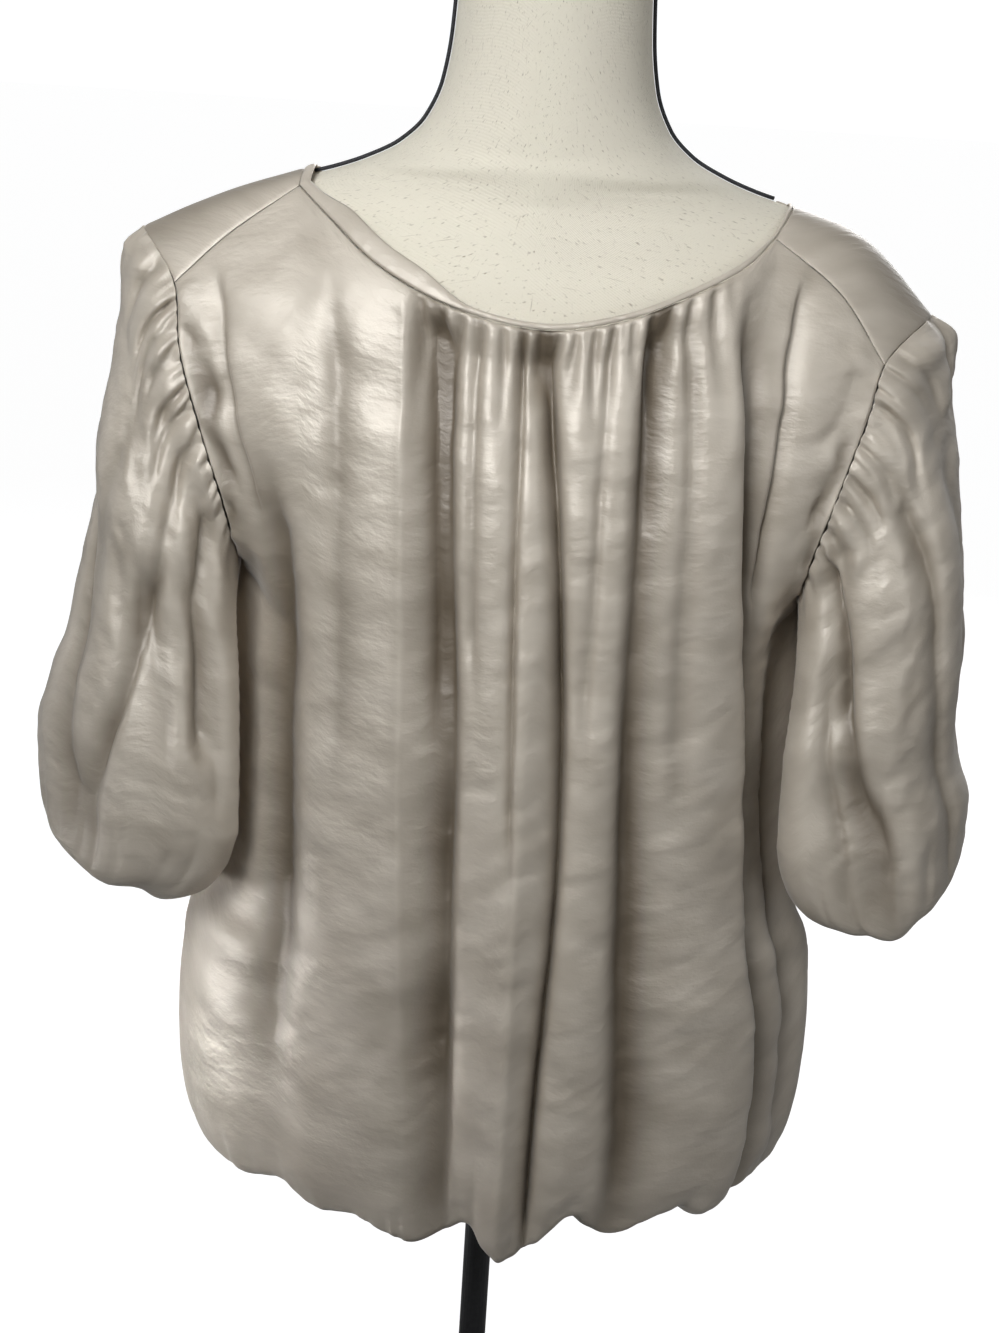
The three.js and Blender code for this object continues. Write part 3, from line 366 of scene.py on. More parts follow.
def calculate(tree, operation, a, b=0.5, c=0.0):
    node = tree.nodes.new("ShaderNodeMath")
    node.operation = operation
    for socket, value in zip(node.inputs, (a, b, c)):
        if isinstance(value, bpy.types.NodeSocket):
            tree.links.new(value, socket)
        else:
            socket.default_value = value
    return node.outputs[0]


def shader_group(name, inputs, outputs):
    """An empty group with named inputs and outputs: inputs maps a name to a default value."""
    tree = bpy.data.node_groups.new(name, "ShaderNodeTree")
    for label, default in inputs.items():
        kind = "NodeSocketVector" if default is None else "NodeSocketFloat"
        socket = tree.interface.new_socket(label, in_out="INPUT", socket_type=kind)
        if default is not None:
            socket.default_value = default
    for label in outputs:
        tree.interface.new_socket(label, in_out="OUTPUT", socket_type="NodeSocketFloat")
    return tree, tree.nodes.new("NodeGroupInput").outputs, tree.nodes.new("NodeGroupOutput").inputs


def stretched(tree, vector, across, down):
    """A surface vector with its two directions scaled apart."""
    return put(tree, "ShaderNodeMapping", Vector=vector, Scale=(across, down, 1)).outputs[0]


def noise(tree, vector, scale, kind="FBM", detail=3.0, roughness=0.5, distortion=0.0):
    node = put(tree, "ShaderNodeTexNoise", {"noise_type": kind}, Vector=vector, Scale=scale)
    node.inputs["Detail"].default_value = detail
    node.inputs["Roughness"].default_value = roughness
    node.inputs["Distortion"].default_value = distortion
    return node.outputs[0]


# %% Crinkle of washed satin
crinkle_sizes = {"Surface": None, "Crinkles per metre": 120.0, "Fine share": 0.3}
crinkle_tree, given, result = shader_group("washed crinkle", crinkle_sizes, ["Height", "Patches"])
crinkle_surface, crinkle_count = given["Surface"], given["Crinkles per metre"]


def crinkle_noise(across, down, **settings):
    return noise(crinkle_tree, stretched(crinkle_tree, crinkle_surface, across, down), crinkle_count, **settings)


broad = crinkle_noise(0.7, 1.5, detail=4, roughness=0.5, distortion=0.1)
soft = crinkle_noise(0.26, 0.42, detail=2)
creases = crinkle_noise(0.35, 0.6, kind="RIDGED_MULTIFRACTAL", detail=2, roughness=0.5, distortion=0.3)
fine = crinkle_noise(5, 6, detail=2)
mixed = calculate(crinkle_tree, "MULTIPLY_ADD", creases, 0.05, broad)
mixed = calculate(crinkle_tree, "MULTIPLY_ADD", soft, 0.7, mixed)
fine_height = calculate(crinkle_tree, "MULTIPLY", given["Fine share"], 0.4)
crinkle_tree.links.new(calculate(crinkle_tree, "MULTIPLY_ADD", fine, fine_height, mixed), result["Height"])
crinkle_tree.links.new(crinkle_noise(0.2, 0.35, detail=2), result["Patches"])

# %% Plain weave with slubs
weave_sizes = {"Surface": None, "Threads per metre": 1100.0}
weave_tree, given, result = shader_group("plain weave", weave_sizes, ["Height", "Slubs"])
bent = put(weave_tree, "ShaderNodeVectorMath", {"operation": "ADD"})
weave_tree.links.new(given["Surface"], bent.inputs[0])
wobble = put(weave_tree, "ShaderNodeTexNoise", Vector=given["Surface"], Scale=120.0)
scaled = put(weave_tree, "ShaderNodeVectorMath", {"operation": "SCALE"}, Scale=0.0012)
weave_tree.links.new(wobble.outputs["Color"], scaled.inputs[0])
weave_tree.links.new(scaled.outputs[0], bent.inputs[1])
apart = put(weave_tree, "ShaderNodeSeparateXYZ", Vector=bent.outputs[0])
turns = calculate(weave_tree, "MULTIPLY", given["Threads per metre"], math.pi)
warp = calculate(weave_tree, "SINE", calculate(weave_tree, "MULTIPLY", apart.outputs[0], turns))
weft = calculate(weave_tree, "SINE", calculate(weave_tree, "MULTIPLY", apart.outputs[1], turns))
crossed = calculate(weave_tree, "MULTIPLY", warp, weft)
weave_tree.links.new(calculate(weave_tree, "MULTIPLY_ADD", crossed, 0.5, 0.5), result["Height"])
long_slub = noise(weave_tree, stretched(weave_tree, given["Surface"], 0.25, 3.2), 260.0, detail=1.5)
tall_slub = noise(weave_tree, stretched(weave_tree, given["Surface"], 3.2, 0.25), 260.0, detail=1.5)
flecks = noise(weave_tree, given["Surface"], 430.0, detail=1.5)
slubs = calculate(weave_tree, "ADD", calculate(weave_tree, "MAXIMUM", long_slub, tall_slub), -0.07)
weave_tree.links.new(calculate(weave_tree, "MAXIMUM", slubs, flecks), result["Slubs"])
print("groups:", [tree.name for tree in bpy.data.node_groups])

# %% [markdown]
# ## Finishes
# The right side of satin has a soft sheen, with the crinkle as bump. Its wrong side is duller. Each
# shell carries an attribute that says how much painted shade each point gets: deep in the folds and
# gathers, beside the armhole seams and over the back of the yokes. The satin's colour is painted darker
# there, because light alone left the folds too flat. The form wears cream linen with slubs and flecks,
# edged with black corded piping, and the stand is painted satin black.

# %% Materials
def finish(name, roughness, specular=0.5, **uniform):
    """A material with a Principled shader, the same values all over set on its own sockets."""
    material = bpy.data.materials.new(name)
    material.use_nodes = True
    shader = material.node_tree.nodes["Principled BSDF"]
    shader.inputs["Roughness"].default_value = roughness
    shader.inputs["Specular IOR Level"].default_value = specular
    for label, value in uniform.items():
        shader.inputs[label.replace("_", " ")].default_value = value
    return material, material.node_tree, shader


def use_group(tree, group, vector):
    node = tree.nodes.new("ShaderNodeGroup")
    node.node_tree = group
    tree.links.new(vector, node.inputs["Surface"])
    return node.outputs


def tinted(tree, mask, dark, light, low=0.3, high=0.7):
    """A colour between two, by a mask."""
    ramp = tree.nodes.new("ShaderNodeValToRGB")
    ramp.color_ramp.elements[0].position, ramp.color_ramp.elements[0].color = low, (*dark, 1)
    ramp.color_ramp.elements[1].position, ramp.color_ramp.elements[1].color = high, (*light, 1)
    tree.links.new(mask, ramp.inputs[0])
    return ramp.outputs[0]


def bumped(tree, shader, height, distance_mm, strength=1.0):
    bump = put(tree, "ShaderNodeBump", Strength=strength, Distance=distance_mm * MM, Height=height)
    tree.links.new(bump.outputs[0], shader.inputs["Normal"])


# Share of the dark tone that the painted shade keeps, channel by channel, so that the shade is warmer.
SHADE_OF_FOLDS = (0.27, 0.23, 0.175)


def satin(name, dark, light, roughness, specular, crinkle_mm, sheen, metallic):
    """Satin in patches of two tones, painted darker where a fold lies deep."""
    soft_gloss = {"Sheen_Weight": sheen, "Sheen_Roughness": 0.35, "Metallic": metallic}
    material, tree, shader = finish(name, roughness, specular, **soft_gloss)
    uv = tree.nodes.new("ShaderNodeUVMap").outputs[0]
    crinkle = use_group(tree, crinkle_tree, uv)
    # The shell's attribute mixes painted shade into the base colour.
    painted_shade_mask = tree.nodes.new("ShaderNodeAttribute")
    painted_shade_mask.attribute_name = "painted_shade_mask"
    shaded = put(tree, "ShaderNodeMix", {"data_type": "RGBA"})
    tree.links.new(painted_shade_mask.outputs["Fac"], shaded.inputs["Factor"])
    tree.links.new(tinted(tree, crinkle["Patches"], dark, light), shaded.inputs[6])
    shaded.inputs[7].default_value = (*(tone * share for tone, share in zip(dark, SHADE_OF_FOLDS)), 1)
    tree.links.new(shaded.outputs[2], shader.inputs["Base Color"])
    uneven = calculate(tree, "MULTIPLY_ADD", crinkle["Patches"], 0.12, roughness - 0.06)
    tree.links.new(uneven, shader.inputs["Roughness"])
    bumped(tree, shader, crinkle["Height"], crinkle_mm)
    return material


satin_face = satin("satin", (0.475, 0.412, 0.334), (0.595, 0.525, 0.437),
                   roughness=0.49, specular=0.95, crinkle_mm=0.62, sheen=0.24, metallic=0.15)
satin_back = satin("satin wrong side", (0.42, 0.36, 0.295), (0.47, 0.405, 0.335),
                   roughness=0.62, specular=0.3, crinkle_mm=0.5, sheen=0.1, metallic=0.0)
SATIN = [satin_face, satin_back]

linen, tree, shader = finish("linen", 0.88, 0.25, Sheen_Weight=0.15)
weave = use_group(tree, weave_tree, tree.nodes.new("ShaderNodeUVMap").outputs[0])
flecked = tinted(tree, weave["Slubs"], (0.72, 0.665, 0.55), (0.36, 0.30, 0.22), 0.62, 0.80)
tree.links.new(flecked, shader.inputs["Base Color"])
bumped(tree, shader, calculate(tree, "ADD", weave["Height"], weave["Slubs"]), 0.22, 0.7)

piping_black, tree, shader = finish("black piping", 0.62, 0.35)
surface = tree.nodes.new("ShaderNodeTexCoord").outputs["Object"]
twist = noise(tree, surface, 900.0, detail=2)
tree.links.new(tinted(tree, twist, (0.010, 0.010, 0.012), (0.03, 0.03, 0.034)), shader.inputs["Base Color"])
bumped(tree, shader, twist, 0.2)

black_paint, tree, shader = finish("black paint", 0.38, 0.5)
surface = tree.nodes.new("ShaderNodeTexCoord").outputs["Object"]
peel = noise(tree, surface, 420.0, detail=2)
tree.links.new(tinted(tree, peel, (0.014, 0.014, 0.015), (0.022, 0.022, 0.023)), shader.inputs["Base Color"])
uneven = calculate(tree, "MULTIPLY_ADD", noise(tree, surface, 35.0), 0.16, 0.30)
tree.links.new(uneven, shader.inputs["Roughness"])
bumped(tree, shader, peel, 0.05)

floor_paint, tree, shader = finish("pale floor", 0.9, 0.1)
shader.inputs["Base Color"].default_value = (0.24, 0.24, 0.24, 1)
shader.inputs["Emission Color"].default_value = (1, 1, 1, 1)
in_view = tree.nodes.new("ShaderNodeLightPath").outputs["Is Camera Ray"]
tree.links.new(calculate(tree, "MULTIPLY", in_view, 0.92), shader.inputs["Emission Strength"])
floor_mesh.materials.append(floor_paint)
print("materials:", [material.name for material in bpy.data.materials])

# %% [markdown]
# ## The dress form
# The form is a padded torso covered with linen. Its surface is a stack of superellipses, wide and
# round at the chest, nearly a circle at the neck, with the shoulders rounded to carry the yokes. The
# CAD solid has few facets, so a finer skin on the same sections replaces it.

# %% Form
FORM = table(
    "z side front back power",
    (312, 140, 96, 94, 2.2), (345, 143, 98, 97, 2.2), (395, 138, 94, 94, 2.2), (475, 116, 82, 82, 2.1),
    (555, 127, 90, 84, 2.1), (630, 143, 99, 86, 2.1), (685, 155, 92, 86, 2.1), (730, 170, 81, 81, 2.1),
    (762, 179, 75, 77, 2), (780, 182, 70, 73, 1.9), (795, 182, 63, 67, 1.65), (804, 179, 60, 64, 1.5),
    (811, 173, 57, 61, 1.45), (817, 162, 55, 59, 1.4), (821.5, 150, 54, 58, 1.4), (825, 139, 54, 58, 1.4),
    (828.2, 129, 54, 58, 1.45), (831, 119, 54, 58, 1.5), (838, 100, 54, 58, 1.8), (848, 81, 52, 57, 1.9),
    (862, 67, 51, 56, 2), (883, 58, 50, 55, 2), (910, 54, 49, 54, 2), (962, 51.5, 48.5, 52, 2),
)
form = {name: curve(FORM, "z", name) for name in ("side", "front", "back", "power")}


def form_points(angle, z):
    power = 2 / form["power"](z)
    across, forward = np.sin(angle), np.cos(angle)
    depth = np.where(forward > 0, -form["front"](z), form["back"](z))
    x = np.sign(across) * form["side"](z) * np.abs(across) ** power
    return np.stack(np.broadcast_arrays(x, depth * np.abs(forward) ** power, z), axis=-1)


def off_the_form(points, gap):
    """Keeps cloth at least a gap outside the form."""
    x, y, z = np.moveaxis(points, -1, 0)
    side, power = form["side"](z), form["power"](z)
    depth = np.where(y < 0, form["front"](z), form["back"](z))
    reach = (np.abs(x / side) ** power + np.abs(y / depth) ** power) ** (1 / power)
    least = 1 + gap / np.hypot(x, y).clip(40)
    grow = np.where((z > FORM["z"][0] - 4) & (reach < least), least / reach.clip(0.3), 1)
    return np.stack([x * grow, y * grow, z], axis=-1)


LINEN_GIRTH = 720
form_angles = np.linspace(0, 2 * math.pi, 145)[:-1]
form_levels = np.concatenate([np.linspace(312, 780, 90), np.linspace(782, 866, 72), np.linspace(869, 961.9, 26)])
skin = form_points(form_angles[None, :], form_levels[:, None])
foot_ring = [skin[0] * (share, share, 1) for share in (0.0, 0.35, 0.7, 0.97)]
top_ring = [skin[-1] * (share, share, 1) for share in (0.97, 0.7, 0.35, 0.0)]
skin = np.concatenate([np.array(foot_ring), skin, np.array(top_ring)])
rows, columns = skin.shape[:2]
closed = np.concatenate([skin, skin[:, :1]], axis=1)
index = np.arange(rows * (columns + 1)).reshape(rows, columns + 1)
quads = np.stack([index[:-1, :-1], index[:-1, 1:], index[1:, 1:], index[1:, :-1]], axis=-1).reshape(-1, 4)
around = (np.arange(columns + 1) / columns - 0.5)[None, :] * LINEN_GIRTH
down = cloth_distances(closed)[1]
form_uv = np.stack(np.broadcast_arrays(around, down), axis=-1).reshape(-1, 2) * MM
form_skin = link("form_skin", plain_mesh("form_skin", closed.reshape(-1, 3) * MM, quads, form_uv), linen)
form_skin.modifiers.new("close", "WELD").merge_threshold = WELD_REACH
applied(form_skin)
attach(form_skin, "root")
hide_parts("form_torso")
print("form skin faces:", len(form_skin.data.polygons))

# %% [markdown]
# ## Seams of the blouse
# The armholes, the shoulder yokes and the neckline are the seams that all pieces share. Each is a
# curve through a few points. Every cloth piece near a seam takes its edge from the same curve, so
# that the edges meet.

# %% Seams
ARMHOLE = {
    "left": seam_curve([(-223, 0, 794), (-199.5, -38, 768), (-193.5, -54, 733), (-182, -62, 697),
                        (-168, -62, 655), (-162, -42, 624),
                        (-163, 0, 610), (-166, 42, 626), (-175, 60, 664), (-187, 60, 706), (-195, 52, 742),
                        (-202, 38, 770)], True),
    "right": seam_curve([(223, 0, 771), (191.5, -50, 748), (184, -60, 720), (174, -66, 688),
                         (163, -64, 648), (159, -42, 618),
                         (162, 0, 604), (166, 42, 620), (175, 60, 658), (186, 61, 696), (195, 52, 730),
                         (206, 36, 754)], True),
}
FRONT_CORNER, UNDERARM, BACK_CORNER = 1 / 12, 6 / 12, 11 / 12
YOKE = {
    "left": {"ridge": seam_curve([(-134, 0, 831), (-178, 0, 815), (-223, 0, 794)]),
             "front": seam_curve([(-135, -20, 823), (-173, -31, 794), (-199.5, -38, 768)]),
             "back": seam_curve([(-133, 22, 823), (-172, 32, 796), (-202, 38, 770)])},
    "right": {"ridge": seam_curve([(139, 0, 827), (180, 0, 811.5), (223, 0, 771)]),
              "front": seam_curve([(128, -35, 811), (165, -44, 784), (191.5, -50, 748)]),
              "back": seam_curve([(138, 24, 818), (174, 33, 792), (206, 36, 754)])},
}
NECKLINE = {
    "front": seam_curve([(-135, -20, 823), (-115, -44, 808), (-85, -69, 786), (-42, -87, 768),
                         (5, -92, 760.5),
                         (48, -88, 768), (85, -76, 783), (112, -57, 797), (128, -35, 811)]),
    "back": seam_curve([(-133, 22, 823), (-112, 42, 818), (-82, 60, 812), (-42, 72, 807), (2, 76, 805),
                        (46, 72, 806), (86, 60, 810), (116, 43, 814), (138, 24, 818)]),
}
SIDE_SIGN = {"left": -1, "right": 1}
FACING = {"front": -1, "back": 1}


def lean_to_neck(points):
    """The way the binding rises from the neck seam."""
    outward = clamp01(np.abs(points[..., 0]) / 134)
    rise = 70 + 140 * (1 - outward**2)
    return unit(np.stack([-points[..., 0], -points[..., 1] * 0.95, rise], axis=-1))


def neck_outward(points):
    rising = lean_to_neck(points)
    radial = points * (0.45, 1, 0)
    return unit(radial - dotted(radial, rising) * rising)


def tucked(grid, edges, outwards, depth=1.0, reach=2.6):
    """Rolls the edges of a grid inwards, as a seam allowance pulls them. Edges are a set of names."""
    normals = grid_normals(grid)
    if np.sum(normals[len(grid) // 3, grid.shape[1] // 2] * outwards) < 0:
        normals = -normals
    across = np.linalg.norm(np.diff(grid, axis=1), axis=2)
    down = np.linalg.norm(np.diff(grid, axis=0), axis=2)
    zeros_column, zeros_row = np.zeros((len(grid), 1)), np.zeros((1, grid.shape[1]))
    distances = {
        "start": np.concatenate([zeros_column, np.cumsum(across, axis=1)], axis=1),
        "end": np.concatenate([zeros_column, np.cumsum(across[:, ::-1], axis=1)], axis=1)[:, ::-1],
        "top": np.concatenate([zeros_row, np.cumsum(down, axis=0)], axis=0),
        "bottom": np.concatenate([zeros_row, np.cumsum(down[::-1], axis=0)], axis=0)[::-1],
    }
    nearest = np.min([distances[edge] for edge in edges], axis=0)
    return grid - normals * (depth * clamp01(1 - nearest / reach) ** 2)[..., None]


def with_dense_ends(count, near=(0.0, 0.004, 0.008, 0.013, 0.02)):
    """Shares from 0 to 1 with extra ones near both ends, where a seam bends the cloth."""
    middle = np.linspace(near[-1], 1 - near[-1], count)[1:-1]
    return np.concatenate([near, middle, 1 - np.array(near)[::-1]])


print("left shoulder point", ARMHOLE["left"](0.0))

# %% [markdown]
# ## Front and back
# Both panels hang from the yokes and the gathered neck. A column of the grid starts at a point of the
# top edge and runs down to the hem. The plain shape is an ellipse at each height; folds are carved
# into it as valleys, each with its own floor, two flanks, depth and lean, so that one lip can roll
# over the valley as it does in a real pleat. The top seam holds the cloth, so a long fold starts
# shallow there. Gathers are short valleys under the binding, and the armhole seams draw in small
# puckers and a few soft dents. The floors of the folds and gathers, the dents and a strip beside each
# armhole seam are also painted with shade. At the foot the cloth turns under and runs up to a hidden
# band, which makes the bubble hem.

# %% Shape of the body
REACH = table(
    "z front back side",
    (830, 34, 58, 232), (800, 62, 79, 228), (780, 79, 88, 224), (760, 93, 97, 218), (730, 106, 106, 209),
    (690, 116, 112, 200),
    (640, 122, 116, 190), (580, 126, 118, 181), (480, 129, 119, 177), (430, 130, 120, 179),
    (385, 131, 121, 191), (330, 131, 121, 195), (200, 131, 121, 195),
)
reach_of = {name: curve(REACH, "z", name) for name in ("front", "back", "side")}
SIDE_SEAM = table("z reach", (610, 163), (590, 165), (540, 168), (490, 171), (440, 174), (415, 179),
                             (398, 187), (382, 191), (330, 194), (200, 194))
side_reach = curve(SIDE_SEAM, "z", "reach")
HEM_LINES = {
    "front": table("x z", (-194, 240), (-160, 240), (-134, 247), (-105, 236), (-85, 239), (-63, 231),
                          (-44, 226), (-23, 236), (-9, 243), (2, 228),
                   (14, 219), (35, 229), (58, 249), (69, 241), (87, 233), (114, 242), (132, 245),
                   (148, 235), (168, 240), (194, 241)),
    "back": table("x z", (-194, 240), (-150, 233), (-122, 244), (-90, 229), (-60, 242), (-28, 226),
                         (4, 240), (38, 224), (70, 241), (104, 231),
                  (132, 244), (158, 234), (194, 241)),
}
hem_line = {panel: curve(HEM_LINES[panel], "x", "z") for panel in HEM_LINES}
DRIFT = {
    "front": table("top foot", (-200, -194), (-120, -112), (-70, -50), (-34, -9), (14, 25), (62, 61),
                               (116, 154), (150, 174), (200, 194)),
    "back": table("top foot", (-202, -194), (-70, -74), (0, 3), (70, 76), (206, 194)),
}
foot_of = {panel: curve(DRIFT[panel], "top", "foot") for panel in DRIFT}
HEM_TURN = seam_curve([(0, 76, 0), (0.05, 44, 0), (0.2, 17, 0), (0.45, 3, 0), (0.72, 1, 0), (1, 31, 0)])
TURN_START, BAND_FOOT = 76, 268
BAND = {"side": 150, "front": 95, "back": 89}
MIDDLE_FALL = 0.5
HELD_AT_SEAM, FREE_BELOW_SEAM = 0.1, 26
OFF_THE_FORM, RUMPLE_DEPTH, PAINTED_SHADE = 1.6, 1.7, 0.95
# How strong the painted shade is in a strip beside each armhole seam, front and back.
ARMHOLE_PAINTED_SHADE = {"front": 0.42, "back": 0.3}
# Soft hollows beside the armhole seams, which are also painted with shade: side (-1 is left), height,
# distance from the seam, and sizes.
SEAM_DENTS = {
    "front": table("side z away wide tall depth",
                   (-1, 738, 4, 4, 7, 2.5), (-1, 711, 7, 6.5, 18, 6), (-1, 674, 5.5, 5.5, 14, 5),
                   (-1, 646, 4, 4, 9, 3),
                   (1, 700, 5, 4.5, 12, 4.5), (1, 668, 5, 5, 13, 5), (1, 640, 4, 4, 9, 3)),
    "back": table("side z away wide tall depth",
                  (-1, 716, 6, 6, 16, 4), (-1, 668, 5, 5, 12, 4), (1, 706, 6, 5, 15, 4.5),
                  (1, 662, 5, 5, 12, 3.5)),
}

# The long folds: place of the valley's floor under the neck and at the hem, and how far it bows
# between; the flanks to either side; depth (a ridge has less than none); heights where it starts and
# ends; the share of the depth left at the hem; and lean: how far a lip rolls over the valley, the
# right one to the left or the other way.
FOLDS = {
    "front": table(
        "x low bow left right depth start end hem lean",
        (-178, -178, 0, 4, 5, 7, 800, 700, 0, 1.5), (-167, -133, 0, 20, 14, 16, 700, 60, 0.2, 0),
        (-113, -108, 0, 8, 12, 6, 800, 560, 0, 0),
        (-72, -68, -4, 4, 5, -3.5, 810, 0, 0.5, 0), (-57, -54, 0, 4, 5, 5, 830, 590, 0, 0),
        (-50, -50, 4, 20, 8, 21, 800, 0, 0.85, 3.5),
        (-31, -30, 0, 4.5, 3.6, 6, 830, 620, 0, 1.5), (-6, -9, 0, 4.5, 3.4, 8, 830, 520, 0, 1.5),
        (6, 19, 16, 9, 6, 20, 830, 0, 0.95, 3.5), (-8, -8, 6, 11, 9, -5.5, 640, 0, 0.9, 0),
        (40, 44, 0, 6, 4, 6, 830, 590, 0, 1), (67, 76, -3, 8, 11, 17, 830, 0, 0.9, -2),
        (90, 88, 0, 6, 5, 6, 800, 560, 0, 0),
        (117, 131, 8, 9, 21, 23, 805, 0, 0.9, -4), (146, 150, 0, 3.4, 5, 8, 830, 660, 0, -1.5),
        (173, 172, 0, 7, 9, 8, 620, 0, 0.7, 0),
    ),
    "back": table(
        "x low bow left right depth start end hem lean",
        (-166, -150, 0, 10, 12, 11, 700, 0, 0.8, 0), (-130, -118, -5, 14, 7, 11, 760, 0, 0.7, 2),
        (-92, -84, 6, 7, 13, 15, 810, 0, 0.85, -3),
        (-54, -44, 0, 6, 12, 16, 840, 0, 0.8, -4), (-18, -8, -8, 13, 6, 19, 840, 0, 0.9, 4),
        (20, 26, 5, 6, 11, 15, 840, 430, 0.5, -3),
        (54, 52, 9, 12, 6, 19, 840, 0, 0.95, 4), (92, 98, 0, 13, 7, 14, 800, 0, 0.8, 3),
        (128, 136, -4, 8, 13, 11, 760, 0, 0.7, -2), (166, 160, 0, 10, 10, 10, 680, 0, 0.8, 0),
    ),
}

# The short gathers at the neck seam: place, width, depth and length.
GATHERS = {
    "front": table(
        "x width depth length",
        (-63, 3.0, 4.8, 95), (-51, 2.6, 4.2, 60), (-40, 3.4, 5.4, 110), (-33, 1.8, 2.2, 26),
        (-28, 2.4, 3.8, 46), (-17, 2.8, 4.6, 80),
        (-12, 1.6, 2.0, 22), (-7, 2.6, 4.4, 70), (3, 2.6, 4.4, 52), (8, 1.6, 2.2, 24), (13, 3.0, 5.2, 110),
        (22, 2.4, 4.0, 58), (27, 1.6, 2.0, 20),
        (32, 2.8, 4.6, 84), (42, 2.6, 4.4, 66), (47, 1.6, 2.2, 26), (52, 2.4, 4.0, 48), (62, 3.2, 5.2, 105),
        (68, 1.8, 2.2, 24), (72, 2.6, 4.2, 60),
        (83, 3.0, 4.6, 88), (95, 3.2, 4.2, 120), (103, 2.4, 1.6, 30),
    ),
    "back": table(
        "x width depth length",
        (-66, 3.0, 4.4, 90), (-54, 2.8, 4.8, 60), (-48, 1.7, 2.0, 24), (-42, 2.6, 4.4, 84),
        (-31, 2.8, 4.2, 50), (-20, 3.2, 5.2, 110), (-14, 1.7, 2.1, 26),
        (-9, 2.6, 4.2, 62), (2, 2.8, 4.6, 84), (8, 1.7, 2.0, 22), (13, 2.6, 4.2, 48), (24, 3.0, 5.0, 100),
        (35, 2.6, 4.4, 60), (41, 1.7, 2.1, 26),
        (46, 2.8, 4.6, 88), (58, 2.8, 4.4, 66), (70, 3.0, 4.4, 96),
    ),
}


def valley(distance, width):
    """1 at the floor of a fold, easing out into the ridges beside it."""
    return 1 / (1 + (0.02 + (distance / width) ** 2) ** 0.9)


def fold_shape(panel, x, z, below, seed):
    """How far the folds draw the cloth in, how far their lips roll sideways, and how much painted
    shade the fold floors and gathers get. The seam at the top holds the cloth, so that a fold starts
    shallow there and deepens below it."""
    inwards, sideways, painted_shade_mask = (np.zeros_like(x + z) for _ in range(3))
    fallen = clamp01((760 - z) / 460)
    let_go = mix(HELD_AT_SEAM, 1, smooth(below / FREE_BELOW_SEAM))
    for number, fold in enumerate(zip(*FOLDS[panel].values())):
        place, low, bow, left, right, depth, start, end, hem, lean = fold
        line = np.full_like(z, 31.0 * number + 9)
        place = mix(place, low, fallen) + bow * np.sin(math.pi * fallen)
        away = x - place - 1.2 * dents(line, z + 900, 60, 90, seed) * smooth(below / 90)
        width = np.where(away < 0, left, right) * (1 + 0.16 * dents(line, z + 900, 60, 70, seed + 1))
        live = smooth((start - z) / 75) * smooth((z - end) / 90 + 1) * mix(1, hem, smooth((430 - z) / 170))
        live = live * (1 + 0.2 * dents(line, z + 900, 60, 55, seed + 2))
        inwards += depth * valley(away, width) * live * let_go
        # Painted shade on the floor of each fold, more for deeper folds.
        painted_shade_mask += clamp01(depth / 16) * bell(away, 0.8 * width) * live
        lip = bell(away - width * 1.2, width) if lean > 0 else bell(away + width * 1.2, width)
        sideways -= lean * lip * live * let_go
    for place, width, depth, length in zip(*GATHERS[panel].values()):
        away = x - place - 0.012 * (x - 15) * np.minimum(below, 60) / 10
        live = mix(0.3, 1, smooth(below / 7)) * (1 - smooth(below / length))
        spread = width * (1 + 0.5 * clamp01(below / length))
        inwards += depth * bell(away, spread) * live
        painted_shade_mask += 0.1 * depth * bell(away, 0.8 * spread) * live
    return inwards, sideways, clamp01(painted_shade_mask)


def armhole_puckers(z, from_edge, seed):
    """Crumpled puckers beside an armhole seam, which its tight stitches draw in."""
    small = dents(z + 300, from_edge, 6.5, 17, seed + 40) * bell(from_edge - 4, 6)
    large = dents(z + from_edge * 0.5 + 300, from_edge, 17, 22, seed + 41) * bell(from_edge - 9, 12)
    return 1.7 * small + 2.6 * large


def hem_puckers(x, above, seed):
    """Small creases that the hidden band gathers into the lowest part of the hem."""
    values = np.random.default_rng(seed)
    depth = np.zeros_like(above)
    for place in np.arange(-186, 187, 11.5):
        at = place + values.uniform(-4, 4)
        size, tall, width = values.uniform(0.8, 3.2), values.uniform(18, 60), values.uniform(2.2, 4.8)
        depth += size * bell(x - at - above * values.uniform(-0.08, 0.08), width) * (1 - smooth(above / tall))
    return depth


for label, rows_of in (("folds:", FOLDS), ("gathers:", GATHERS)):
    print(label, {panel: len(rows_of[panel]["x"]) for panel in rows_of})

# %% The panels as grids
def section_depth(panel, x, z):
    across = np.minimum(0.995, np.abs(x) / reach_of["side"](z))
    return FACING[panel] * reach_of[panel](z) * np.sqrt(1 - across**2)


def band_points(panel, x, z):
    across = np.clip(x / side_reach(0.0), -1, 1)
    depth = FACING[panel] * BAND[panel] * np.sqrt(1 - across**2)
    return np.stack(np.broadcast_arrays(BAND["side"] * across, depth, z), axis=-1)


def panel_rows():
    """Down a panel: along the armhole, down the side seam, then through the turn of the hem."""
    armhole = np.concatenate([[0, 0.004, 0.009, 0.016, 0.026], np.linspace(0.04, 1, 52)])
    side = np.linspace(0, 1, 76)[1:]
    turn = np.linspace(0, 1, 32)[1:]
    turned = HEM_TURN(turn)
    kinds = [(len(armhole), 0), (len(side), 1), (len(turn), 2)]
    return {
        "kind": np.repeat([kind for _, kind in kinds], [count for count, _ in kinds]),
        "armhole": np.concatenate([armhole, np.ones(len(side) + len(turn))]),
        "side": np.concatenate([np.zeros(len(armhole)), side, np.ones(len(turn))]),
        "fallen": np.concatenate([MIDDLE_FALL * armhole, mix(MIDDLE_FALL, 1, side), np.ones(len(turn))]),
        "turn_in": np.concatenate([np.zeros(len(armhole) + len(side)), turned[:, 0]]),
        "turn_rise": np.concatenate([np.full(len(armhole) + len(side), TURN_START), turned[:, 1]]),
    }


